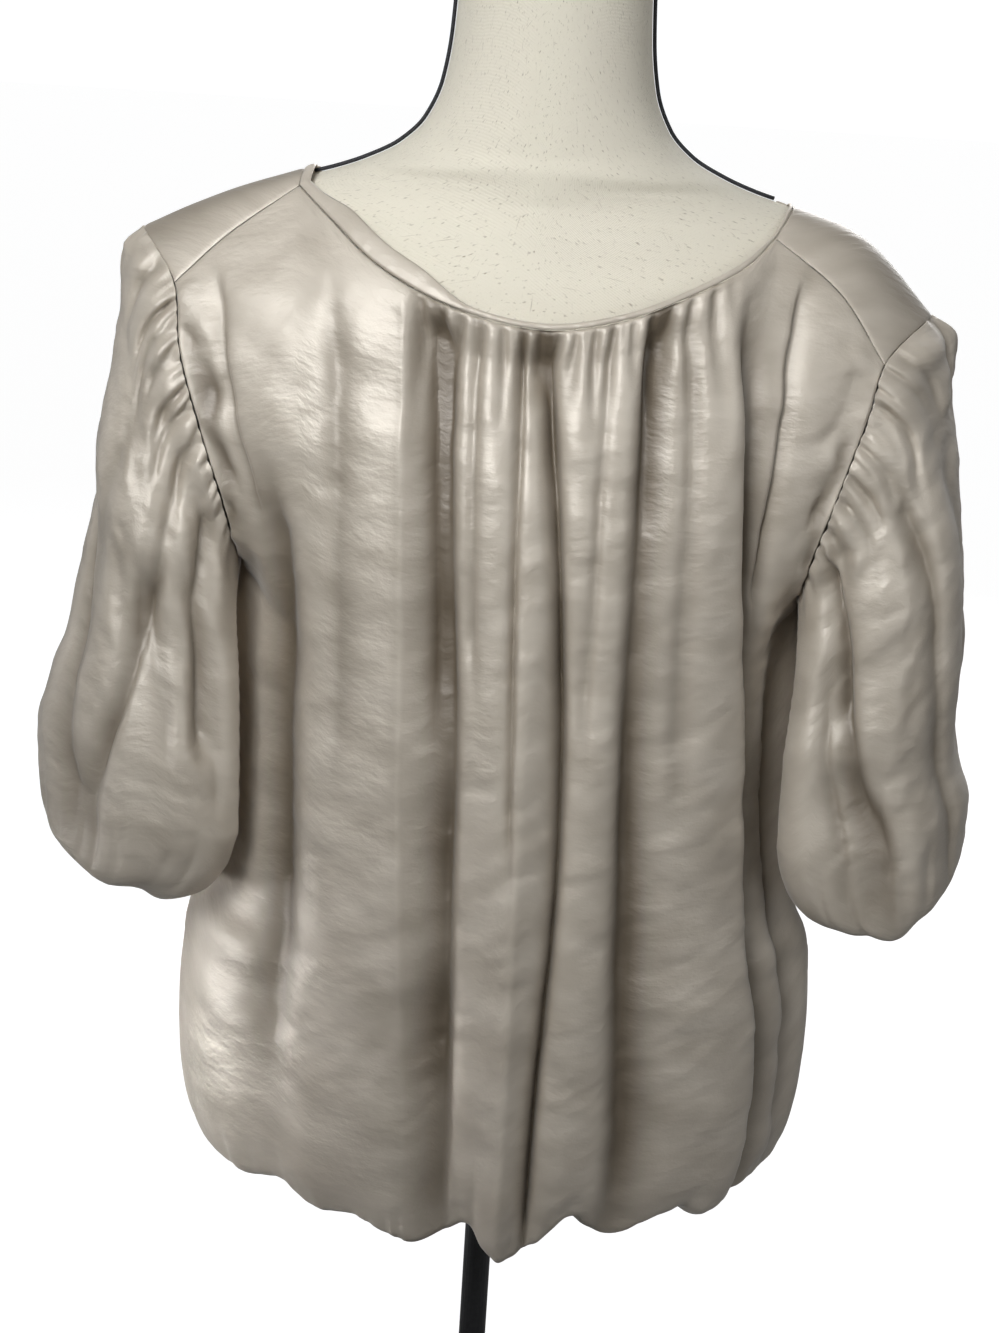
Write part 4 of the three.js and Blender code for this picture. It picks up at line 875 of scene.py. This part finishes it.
def edge_of(panel, side, rows):
    """The outermost column of a panel: down the armhole, then down the side seam."""
    sign = SIDE_SIGN[side]
    corner = FRONT_CORNER if panel == "front" else BACK_CORNER
    along_armhole = ARMHOLE[side](mix(corner, UNDERARM, rows["armhole"]))
    top = ARMHOLE[side](UNDERARM)[2]
    end = hem_line[panel](sign * side_reach(0.0)) + TURN_START
    z = mix(top, end, rows["side"])
    down_side = np.stack([sign * side_reach(z), 0 * z, z], axis=-1)
    return np.where((rows["kind"] == 0)[:, None], along_armhole, down_side)


def top_edge(panel, count):
    """Points along the top of a panel from armhole to armhole, closer together in the gathers."""
    shares = np.linspace(0, 1, 400)
    left_yoke, right_yoke = YOKE["left"][panel](1 - shares), YOKE["right"][panel](shares)
    line = np.concatenate([left_yoke, NECKLINE[panel](shares)[1:], right_yoke[1:]])
    lengths = np.concatenate([[0], np.cumsum(np.linalg.norm(np.diff(line, axis=0), axis=1))])
    weight = 0.75 + 0.75 * bell(line[:, 0] - 15, 105) ** 2 + 2.2 * (bell(lengths, 4) + bell(lengths - lengths[-1], 4))
    spaced = np.concatenate([[0], np.cumsum(np.diff(lengths) * (weight[1:] + weight[:-1]) / 2)])
    at = np.linspace(0, spaced[-1], count)
    return np.stack([np.interp(at, spaced, line[:, k]) for k in range(3)], axis=1)


def panel_grid(panel, columns, seed):
    rows, tops = panel_rows(), top_edge(panel, columns)
    top_x, top_y, top_z = tops.T[:, None, :]
    column = {name: values[:, None] for name, values in rows.items()}
    left = (top_x < 0)[..., None]
    edges = {side: edge_of(panel, side, rows)[:, None, :] for side in ("left", "right")}
    edge = np.where(left, edges["left"], edges["right"])
    corner = np.where(left, edges["left"][:1], edges["right"][:1])
    foot_left, foot_right = (edges[side][rows["kind"] == 1][-1, 0, 2] for side in ("left", "right"))
    foot_z = np.where(left[..., 0], foot_left, foot_right)
    out = clamp01(top_x / corner[..., 0])
    share = mix(column["fallen"], (corner[..., 2] - edge[..., 2]) / (corner[..., 2] - foot_z), out**6)
    foot = foot_of[panel]
    widening = edge[..., 0] / mix(corner[..., 0], foot(corner[..., 0]), share)
    x = mix(top_x, foot(top_x), share) * mix(1, widening, out**2)
    low = hem_line[panel](x)
    in_turn = column["kind"] == 2
    turning = mix(low + column["turn_rise"], BAND_FOOT, column["turn_in"] ** 8)
    z = np.where(in_turn, turning, mix(top_z, low + TURN_START, share))
    near_edge = clamp01((out - 0.55) / 0.45) ** 2
    edge_miss = edge[..., 1] - section_depth(panel, edge[..., 0], edge[..., 2])
    corner_miss = corner[..., 1] - section_depth(panel, corner[..., 0], corner[..., 2])
    top_miss = top_y - section_depth(panel, top_x, top_z) - corner_miss * near_edge
    fade = (1 - clamp01(share / 0.4)) ** 2
    y = section_depth(panel, x, z) + edge_miss * near_edge + top_miss * fade
    points = np.stack(np.broadcast_arrays(x, y, z), axis=-1)
    turn_in = column["turn_in"][..., None]
    points = mix(points, band_points(panel, x, z), turn_in)
    inwards, sideways, painted_shade_mask = fold_shape(panel, top_x, z, top_z - z, seed + 60)
    kept = smooth((1 - out) / 0.07) * (1 - column["turn_in"]) ** 2
    rumple = crumple(x, z, seed) * RUMPLE_DEPTH * smooth((top_z - z) / 40) * smooth((1 - out) / 0.1)
    near_hem = np.where(z < low + 90, 1, 0)
    puckers = hem_puckers(x, np.maximum(z - low, 0), seed) * near_hem * smooth((1 - out) / 0.1)
    from_edge = (1 - out) * np.abs(corner[..., 0])
    beside_seam = 1 - smooth((column["armhole"] + column["side"] - 0.96) / 0.08)
    beside_seam = beside_seam * smooth((top_z - z) / 12) * smooth(from_edge / 2.5)
    puckers = puckers + armhole_puckers(z, from_edge, seed) * beside_seam
    # Each dent is pushed in and also gets painted shade.
    for side, height, away, wide, tall, depth in zip(*SEAM_DENTS[panel].values()):
        spot = bell(from_edge - away, wide) * bell(z - height, tall) * (top_x * side > 0) * beside_seam
        puckers = puckers + depth * spot
        painted_shade_mask = painted_shade_mask + 0.14 * depth * spot
    # A strip of painted shade beside the armhole seam, uneven along it.
    uneven = 0.75 + 0.5 * dents(z + 300, 0 * z, 19, 20, seed + 42)
    painted_shade_mask = clamp01(painted_shade_mask + ARMHOLE_PAINTED_SHADE[panel] * bell(from_edge - 7, 7) * beside_seam * uneven)
    inward = unit(points * (-0.45, -1, 0))
    points = points + inward * (inwards * kept + (puckers + rumple) * (1 - column["turn_in"]))[..., None]
    points[..., 0] += sideways * kept
    points = off_the_form(points, OFF_THE_FORM)
    # The second value is the panel's painted shade, none at its outer edge or in the turned-under hem.
    return points, PAINTED_SHADE * painted_shade_mask * smooth((1 - out) / 0.012) * (1 - column["turn_in"]) ** 2


def drawn_in(grid, top, sides):
    """Leaves a hair of room between two pieces at their seam."""
    grid[0] += unit(grid[1] - grid[0]) * top
    for end, nearest in ((0, 1), (-1, -2)):
        grid[:, end] += unit(grid[:, nearest] - grid[:, end]) * sides
    return grid


PANEL_COLUMNS, PANEL_SEED = 262, {"front": 11, "back": 29}
body_panels = {}
for panel in ("front", "back"):
    grid, painted_shade_mask = panel_grid(panel, PANEL_COLUMNS, PANEL_SEED[panel])
    grid = tucked(grid, ("top", "start", "end"), (0, FACING[panel], 0))
    grid = drawn_in(grid, 0.2, 0.15)
    body_panels[panel] = cloth_shell(f"{panel}_panel", grid, SATIN, outwards=(0, FACING[panel], 0), painted_shade_mask=painted_shade_mask)
    triangles = sum(len(face.vertices) - 2 for face in body_panels[panel].data.polygons)
    print(panel, "panel:", grid.shape, "triangles:", triangles)

# %% [markdown]
# ## Shoulder yokes
# Two plain pieces join front and back over the shoulders. They lie smooth on the form, so only the
# seams around them bend the cloth. A yoke is a ridge line between two seam lines, bent over the
# shoulder, and its outer end takes the armhole's own curve. Its painted shade is full from the back
# seam to the ridge and fades towards the front seam.

# %% Yokes
YOKE_SHARES = with_dense_ends(52)
OVER_SHOULDER = mix(-1, 1, YOKE_SHARES)
YOKE_SHADE = 0.55


def yoke_points(side, across, over):
    lines = YOKE[side]
    ridge = lines["ridge"](across)
    seam = np.where((over < 0)[..., None], lines["front"](across), lines["back"](across))
    bend = (over**2)[..., None]
    x_z = mix(ridge, seam, bend)
    return np.stack([x_z[..., 0], mix(ridge[..., 1], seam[..., 1], np.abs(over)), x_z[..., 2]], axis=-1)


def yoke_grid(side):
    across, over = np.meshgrid(YOKE_SHARES, -OVER_SHOULDER)
    miss = ARMHOLE[side](-over / 12) - yoke_points(side, np.ones_like(over), over)
    grid = yoke_points(side, across, over) + miss * (across**3)[..., None]
    lift = np.sin(math.pi * across) * (1 - over**2)
    grid[..., 2] += 0.5 * lift + 0.3 * dents(grid[..., 0], grid[..., 1], 23, 17, 5) * lift
    return grid


yokes = {}
yoke_shade = np.repeat(YOKE_SHADE * smooth((1 - OVER_SHOULDER) / 0.9)[:, None], len(YOKE_SHARES), axis=1)
for side in ("left", "right"):
    grid = tucked(yoke_grid(side), ("top", "bottom", "start", "end"), (0, 0, 1), depth=0.7, reach=3.4)
    name = f"shoulder_yoke_{side}"
    yokes[side] = cloth_shell(name, grid, SATIN, thickness=0.8, outwards=(0, 0, 1), painted_shade_mask=yoke_shade)
print("yokes:", [len(piece.data.polygons) for piece in yokes.values()])

# %% [markdown]
# ## Balloon sleeves
# A sleeve is a tube: rings at each height, wide and slack in the middle, gathered into the armhole at
# the top and turned under to a narrow cuff band at the foot. Its long pleats hang from the shoulder
# and drift outwards as the cloth balloons. Short gathers crumple the cap beside the armhole seam.

# %% Shape of the sleeves
SLEEVES = {
    "left": {
        "rings": table("z outer inner front back",
                       (794, 226, 200, 22, 22), (780, 234, 196, 42, 42), (750, 240, 190, 60, 60),
                       (697, 247, 178, 72, 70), (644, 253, 170, 78, 76), (600, 261, 160, 82, 78),
                       (565, 267, 150, 86, 80), (543, 275, 145, 89, 81), (500, 285, 140, 92, 82),
                       (450, 281, 138, 93, 81), (380, 276, 138, 93, 81)),
        "low": (403, 54, 16), "cuff": (234, -8, 34, 52),
        "folds": table("at foot left right depth start end lean",
                       (-20, -57, 12, 9, 11, 0.45, 1.2, 3), (-58, -44, 12, 12, 6, 0.05, 0.6, 0),
                       (-78, -66, 12, 9, 4, 0, 0.4, 0), (-106, -71, 12, 6, 12, 0.35, 1.2, 4),
                       (-97, -100, 5, 4, 6, 0, 0.7, 0), (-124, -112, 7, 12, 17, 0, 0.65, -3),
                       (-132, -124, 5, 6, 5, 0.42, 0.8, 0), (-154, -150, 9, 9, 6, 0.3, 1, 0),
                       (178, 178, 12, 12, 4, 0.2, 0.9, 0), (145, 145, 14, 8, 12, 0.05, 1, 3),
                       (108, 98, 8, 15, 13, 0, 1.2, -3), (66, 52, 13, 8, 12, 0, 1.2, 3),
                       (22, 12, 10, 15, 9, 0.05, 1.2, -3)),
    },
    "right": {
        "rings": table("z outer inner front back",
                       (771, 226, 200, 24, 24), (762, 233, 196, 40, 40), (746, 241, 190, 56, 54),
                       (720, 247, 184, 66, 64), (675, 254, 172, 75, 72), (632, 260, 168, 80, 76),
                       (590, 266, 158, 84, 79), (548, 268, 151, 88, 81), (520, 271, 147, 90, 82),
                       (480, 282, 146, 92, 82), (380, 283, 146, 92, 81)),
        "low": (403, 44, 15), "cuff": (232, -8, 33, 52),
        "folds": table("at foot left right depth start end lean",
                       (-30, -16, 12, 12, 6, 0.05, 0.8, 0), (-76, -40, 8, 13, 11, 0.12, 1.2, -3),
                       (-128, -84, 8, 14, 17, 0, 1.2, -5), (-140, -104, 6, 8, 8, 0.35, 1.2, -2),
                       (-98, -60, 12, 10, 3.5, 0.4, 1, 0), (-156, -150, 9, 9, 6, 0.3, 1, 0),
                       (176, 176, 12, 12, 4, 0.2, 0.9, 0), (146, 146, 14, 8, 12, 0.05, 1.2, 3),
                       (106, 96, 8, 15, 13, 0, 1.2, -3), (64, 54, 13, 8, 12, 0, 1.2, 3),
                       (22, 16, 10, 14, 9, 0.1, 1.2, 0)),
    },
}
SLEEVE_TURN = seam_curve([(0, 46, 0), (0.12, 24, 0), (0.38, 6, 0), (0.66, 0, 0), (0.9, 9, 0), (1, 28, 0)])
SLEEVE_TURN_START = 46
SLEEVE_INNER_POWER = 0.72
CAP_PUFF = 5
GATHERED_FROM, GATHERED_TO = -150, 150


def body_side(y, z):
    reach = np.where(y < 0, reach_of["front"](z), reach_of["back"](z))
    return side_reach(z) * np.sqrt(np.maximum(0, 1 - (y / reach) ** 2))


def sleeve_ring(rings, angle, z):
    middle, half = (rings["outer"](z) + rings["inner"](z)) / 2, (rings["outer"](z) - rings["inner"](z)) / 2
    depth = np.where(np.sin(angle) < 0, rings["front"](z), rings["back"](z))
    power = np.where(np.cos(angle) < 0, SLEEVE_INNER_POWER, 1)
    bend = lambda value: np.sign(value) * np.abs(value) ** power
    return middle + half * bend(np.cos(angle)), depth * bend(np.sin(angle))


def turned_away(angle_degrees, place):
    return (angle_degrees - place + 180) % 360 - 180


def sleeve_folds(folds, degrees, share, seed):
    """How far the pleats draw the cloth in, how many degrees their lips roll round the sleeve, and how
    much painted shade their floors get.
    """
    inwards, turned, painted_shade_mask = (np.zeros_like(share + degrees) for _ in range(3))
    for number, (at, foot, left, right, deep, start, end, lean) in enumerate(zip(*folds.values())):
        line = np.full_like(share, 23.0 * number + 5)
        away = turned_away(degrees, mix(at, foot, share**1.3) + 2 * dents(line, share * 300, 60, 80, seed))
        width = np.where(away > 0, left, right) * (1 + 0.18 * dents(line, share * 300, 60, 60, seed + 1))
        live = smooth((share - start + 0.1) / 0.2) * (1 - smooth((share - end) / 0.2))
        live = live * (1 + 0.2 * dents(line, share * 300, 60, 50, seed + 2))
        inwards += deep * valley(away, width) * live
        painted_shade_mask += clamp01(deep / 16) * bell(away, 0.75 * width) * live
        lip = bell(away + width * 1.2, width) if lean > 0 else bell(away - width * 1.2, width)
        turned += lean * lip * live
    return inwards, turned, clamp01(painted_shade_mask)


def cap_gathers(degrees, below, seed):
    """Short uneven valleys that start at the armhole seam, and the painted shade in the larger ones."""
    values = np.random.default_rng(seed)
    depth, painted_shade_mask = np.zeros_like(below + degrees), np.zeros_like(below + degrees)
    for at in np.arange(GATHERED_FROM, GATHERED_TO, 12.5):
        place, size = at + values.uniform(-4, 4), values.uniform(3.0, 7.2)
        length = values.uniform(16, 44) + 34 * (values.uniform() > 0.65)
        width, slant = values.uniform(2.2, 4.2), values.uniform(-0.16, 0.16)
        away = turned_away(degrees, place + slant * below)
        live = smooth((below + 2) / 7) * (1 - smooth(below / length))
        depth += size * bell(away, width * (1 + 0.6 * clamp01(below / length))) * live
        painted_shade_mask += 0.1 * size * bell(away, 0.7 * width) * live
    for at in np.arange(GATHERED_FROM, GATHERED_TO, 6.2):
        place, size, length = at + values.uniform(-2, 2), values.uniform(1.2, 3.4), values.uniform(7, 18)
        away = turned_away(degrees, place + values.uniform(-0.25, 0.25) * below)
        depth += size * bell(away, 1.6) * smooth((below + 3.5) / 5) * (1 - smooth(below / length))
    pillow = 2.8 * bell(below - 7, 6) * (1 + 0.7 * dents(degrees + 400, below, 9, 60, seed + 4))
    return depth - pillow, clamp01(painted_shade_mask)


def sleeve_grid(side, columns, seed):
    sign, plan = SIDE_SIGN[side], SLEEVES[side]
    rings = {name: curve(plan["rings"], "z", name) for name in ("outer", "inner", "front", "back")}
    around = np.arange(columns)[None, :] / columns
    angle = -around * 2 * math.pi
    degrees = np.degrees(angle)
    level, outer_rise, inner_rise = plan["low"]
    hanging = np.concatenate([[0, 0.002, 0.005, 0.009, 0.014], np.linspace(0.022, 1, 92)])
    turned = SLEEVE_TURN(np.linspace(0, 1, 35)[1:])
    share = np.concatenate([hanging, np.ones(len(turned))])[:, None]
    turn_in = np.concatenate([np.zeros(len(hanging)), turned[:, 0]])[:, None]
    turn_rise = np.concatenate([np.full(len(hanging), SLEEVE_TURN_START), turned[:, 1]])[:, None]
    in_turn = turn_in > 0
    outwards = (1 + np.cos(angle)) / 2
    seam = ARMHOLE[side](around)
    lobes = 6.5 * dents(degrees + 400, 0 * degrees, 21, 10, seed + 3)
    lowest = level + outer_rise * outwards**1.3 + inner_rise * (1 - outwards) ** 2 + lobes
    turn_start = lowest + SLEEVE_TURN_START
    z = np.where(in_turn, lowest + turn_rise, mix(seam[..., 2], turn_start, share))
    free = 1 - 0.8 * smooth((-np.cos(angle) - 0.35) / 0.5)
    room = smooth(share / 0.1) * (1 - turn_in) ** 2
    pleats, turned_by, painted_shade_mask = sleeve_folds(plan["folds"], degrees, share, seed + 20)
    rolled = angle + np.radians(turned_by * room * free)
    ring_x, ring_y = sleeve_ring(rings, rolled, np.maximum(z, turn_start - 1))
    start_x, start_y = sleeve_ring(rings, angle, seam[..., 2])
    fade = (1 - clamp01(share / 0.45)) ** 2
    x = ring_x + (np.abs(seam[..., 0]) - start_x) * fade
    y = ring_y + (seam[..., 1] - start_y) * fade
    puff = CAP_PUFF * outwards * np.sin(math.pi * clamp01(share / 0.16))
    x, z = x + puff * 0.8, z + puff
    below = np.maximum(seam[..., 2] - z, 0)
    gathers, gather_painted_shade = cap_gathers(degrees, below, seed)
    pleats = free * (pleats * room + gathers)
    girth = degrees * 1.5
    crumpled = (1.1 + 1.3 * bell(below, 75)) * crumple(girth + 700, below, seed)
    pleats += crumpled * free * smooth(below / 10) * (1 - turn_in)
    values = np.random.default_rng(seed + 9)
    above = np.where(in_turn, turn_rise, SLEEVE_TURN_START + np.maximum(z - turn_start, 0))
    for at in np.arange(-180, 180, 13.0):
        place, size, tall = at + values.uniform(-4, 4), values.uniform(1.2, 4.2), values.uniform(30, 75)
        crease = bell(turned_away(degrees, place), values.uniform(2.0, 4.4))
        pleats += size * free * crease * (1 - smooth(above / tall)) * (1 - turn_in) ** 2
    middle = (rings["outer"](z) + rings["inner"](z)) / 2
    inward = unit(np.stack([middle - x, -y], axis=-1))
    x, y = x + inward[..., 0] * pleats, y + inward[..., 1] * pleats
    clear = body_side(y, z) + mix(2, 5, smooth(share / 0.3))
    beside_body = (share > 0) & (np.cos(angle) < 0.3) & (z < seam[..., 2])
    x = np.where(beside_body, np.maximum(x, clear), x)
    cuff_x, cuff_y, cuff_side, cuff_depth = plan["cuff"]
    x = mix(x, cuff_x + cuff_side * np.cos(angle), turn_in)
    y = mix(y, cuff_y + cuff_depth * np.sin(angle), turn_in)
    # Painted shade of the pleats and cap gathers, none in the turned-under hem.
    shade = clamp01(0.8 * painted_shade_mask * room + 0.7 * gather_painted_shade * (1 - turn_in)) * free
    return np.stack(np.broadcast_arrays(sign * x, y, z), axis=-1), shade


SLEEVE_COLUMNS, SLEEVE_SEED = 300, {"left": 41, "right": 57}
sleeves, sleeve_rims = {}, {}
for side in ("left", "right"):
    grid, painted_shade_mask = sleeve_grid(side, SLEEVE_COLUMNS, SLEEVE_SEED[side])
    grid[0, :, 0] += SIDE_SIGN[side] * 0.25
    sleeve_rims[side] = grid[-1]
    outwards = grid[40, SLEEVE_COLUMNS // 2] - grid[40, 0]
    sleeves[side] = cloth_shell(f"balloon_sleeve_{side}", grid, SATIN, ring=True, outwards=outwards, painted_shade_mask=painted_shade_mask)
    print(side, "sleeve:", grid.shape)

# %% [markdown]
# ## Binding and hidden bands
# A narrow bias binding finishes the neck: it stands on the gathered edge and leans towards the neck,
# wider at the left where the inside shows. Inside the hem and the sleeve hems, plain bands hold the
# turned cloth. The form's black piping is a round cord along its side seam.

# %% Binding, bands and piping
def binding_width(points):
    leftward = smooth((-28 - points[..., 0]) / 48)
    at_shoulder = 1 - 0.45 * smooth((np.abs(points[..., 0]) - 105) / 30)
    return np.where(points[..., 1] > 10, 8, mix(3.5, 12, leftward) * at_shoulder)


def neck_ring():
    """The neck seam from the front's left end round to where it starts."""
    shares = np.linspace(0, 1, 220)
    over = np.linspace(-1, 1, 24)[1:-1]
    start = np.zeros_like(over)
    line = np.concatenate([
        NECKLINE["front"](shares), yoke_points("right", start, over),
        NECKLINE["back"](shares[::-1]), yoke_points("left", start, -over),
    ])
    return evenly(np.concatenate([line, line[:1]]), 421)[:-1]


seam = neck_ring()
rising, outward = lean_to_neck(seam), neck_outward(seam)
up = np.linspace(0, 1, 9)[:, None, None]
gathered = mix(0.35, 0.95, smooth((72 - np.abs(seam[:, 0] - 12)) / 20))
ripple = (gathered * dents(np.arange(len(seam)) * 3.1, np.zeros(len(seam)), 7, 5, 77))[None, :, None]
roll = 0.8 * np.sin(math.pi * up) ** 0.7 - 0.5 * up**3
rise = 0.45 + up * binding_width(seam)[:, None]
binding_grid = seam + rising * rise + outward * (roll + ripple * (1 - up) - 0.5)
binding = cloth_shell("bias_binding", binding_grid[::-1], SATIN, ring=True, thickness=1.2, outwards=(0, -1, 0.2))


def band_shell(name, rim, foot, height):
    levels = np.linspace(1, 0, 6)[:, None]
    grid = np.stack([np.broadcast_to(rim[:, k], (6, len(rim))) for k in range(3)], axis=-1).copy()
    grid[..., 2] = foot + levels * height
    middle = rim.mean(axis=0)
    outwards = grid[2, len(rim) // 2] - (middle[0], middle[1], grid[2, 0, 2])
    return cloth_shell(name, grid, [satin_back], ring=True, thickness=1.2, outwards=outwards)


turns = np.linspace(-0.5, 0.5, 81)[:-1] * math.pi
across = np.sin(turns) * side_reach(0.0)
band_rim = np.concatenate([band_points("front", across, 0.0), band_points("back", -across, 0.0)])
bands = {"hem": band_shell("hem_band_strip", band_rim, 269.2, 15)}
for side in ("left", "right"):
    cuff_rim = sleeve_rims[side][::3]
    bands[side] = band_shell(f"cuff_band_strip_{side}", cuff_rim, cuff_rim[:, 2] + 0.85, 14)


def piping(name, sign):
    levels = np.linspace(828.5, 961, 90)
    slope = np.gradient(form["side"](levels), levels)
    out = unit(np.stack([np.full_like(levels, sign), 0 * levels, -slope], axis=-1))
    middle = np.stack([sign * form["side"](levels), 0 * levels, levels], axis=-1) + out * 1.4
    turn = np.linspace(0, 2 * math.pi, 15)[:-1]
    cosine, sine = np.cos(turn)[None, :, None], np.sin(turn)[None, :, None]
    rings = middle[:, None] + 1.1 * (cosine * out[:, None] + sine * np.array([0, 1, 0]))
    count = len(turn)
    index = np.arange(rings.shape[0] * count).reshape(-1, count)
    beside = np.roll(index, -1, axis=1)
    quads = np.stack([index[:-1], beside[:-1], beside[1:], index[1:]], axis=-1).reshape(-1, 4).tolist()
    caps = [index[0][::-1].tolist(), index[-1].tolist()]
    if sign < 0:
        quads, caps = [face[::-1] for face in quads], [face[::-1] for face in caps]
    return link(name, plain_mesh(name, rings.reshape(-1, 3) * MM, quads + caps), piping_black)


pipings = {side: piping(f"piping_cord_{side}", SIDE_SIGN[side]) for side in ("left", "right")}
print("binding, bands and piping made")

# %% [markdown]
# ## The stand
# The cap, pole, socket and base are turned parts of painted steel. Their CAD shapes are right, so they
# only get a better material.

# %% Stand
for name in ("form_neck_cap", "pole", "pole_socket", "base"):
    nodes[name].data.materials.clear()
    nodes[name].data.materials.append(black_paint)
print("painted:", [name for name in nodes if nodes[name].data.materials[0] == black_paint])

# %% [markdown]
# ## Each piece on the part's body
# Every piece rides on the part's one body, and the CAD node that it stands for is hidden. A gathered
# or draped cut is wider than the room it fills.

# %% Bodies and hidden CAD nodes
def stands_for(piece, node):
    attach(piece, "root")
    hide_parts(node)


for panel in ("front", "back"):
    stands_for(body_panels[panel], panel)
for side in ("left", "right"):
    stands_for(yokes[side], f"yoke_{side}")
    stands_for(sleeves[side], f"sleeve_{side}")
    stands_for(bands[side], f"cuff_band_{side}")
    stands_for(pipings[side], f"form_piping_{side}")
stands_for(binding, "neck_binding")
stands_for(bands["hem"], "hem_band")
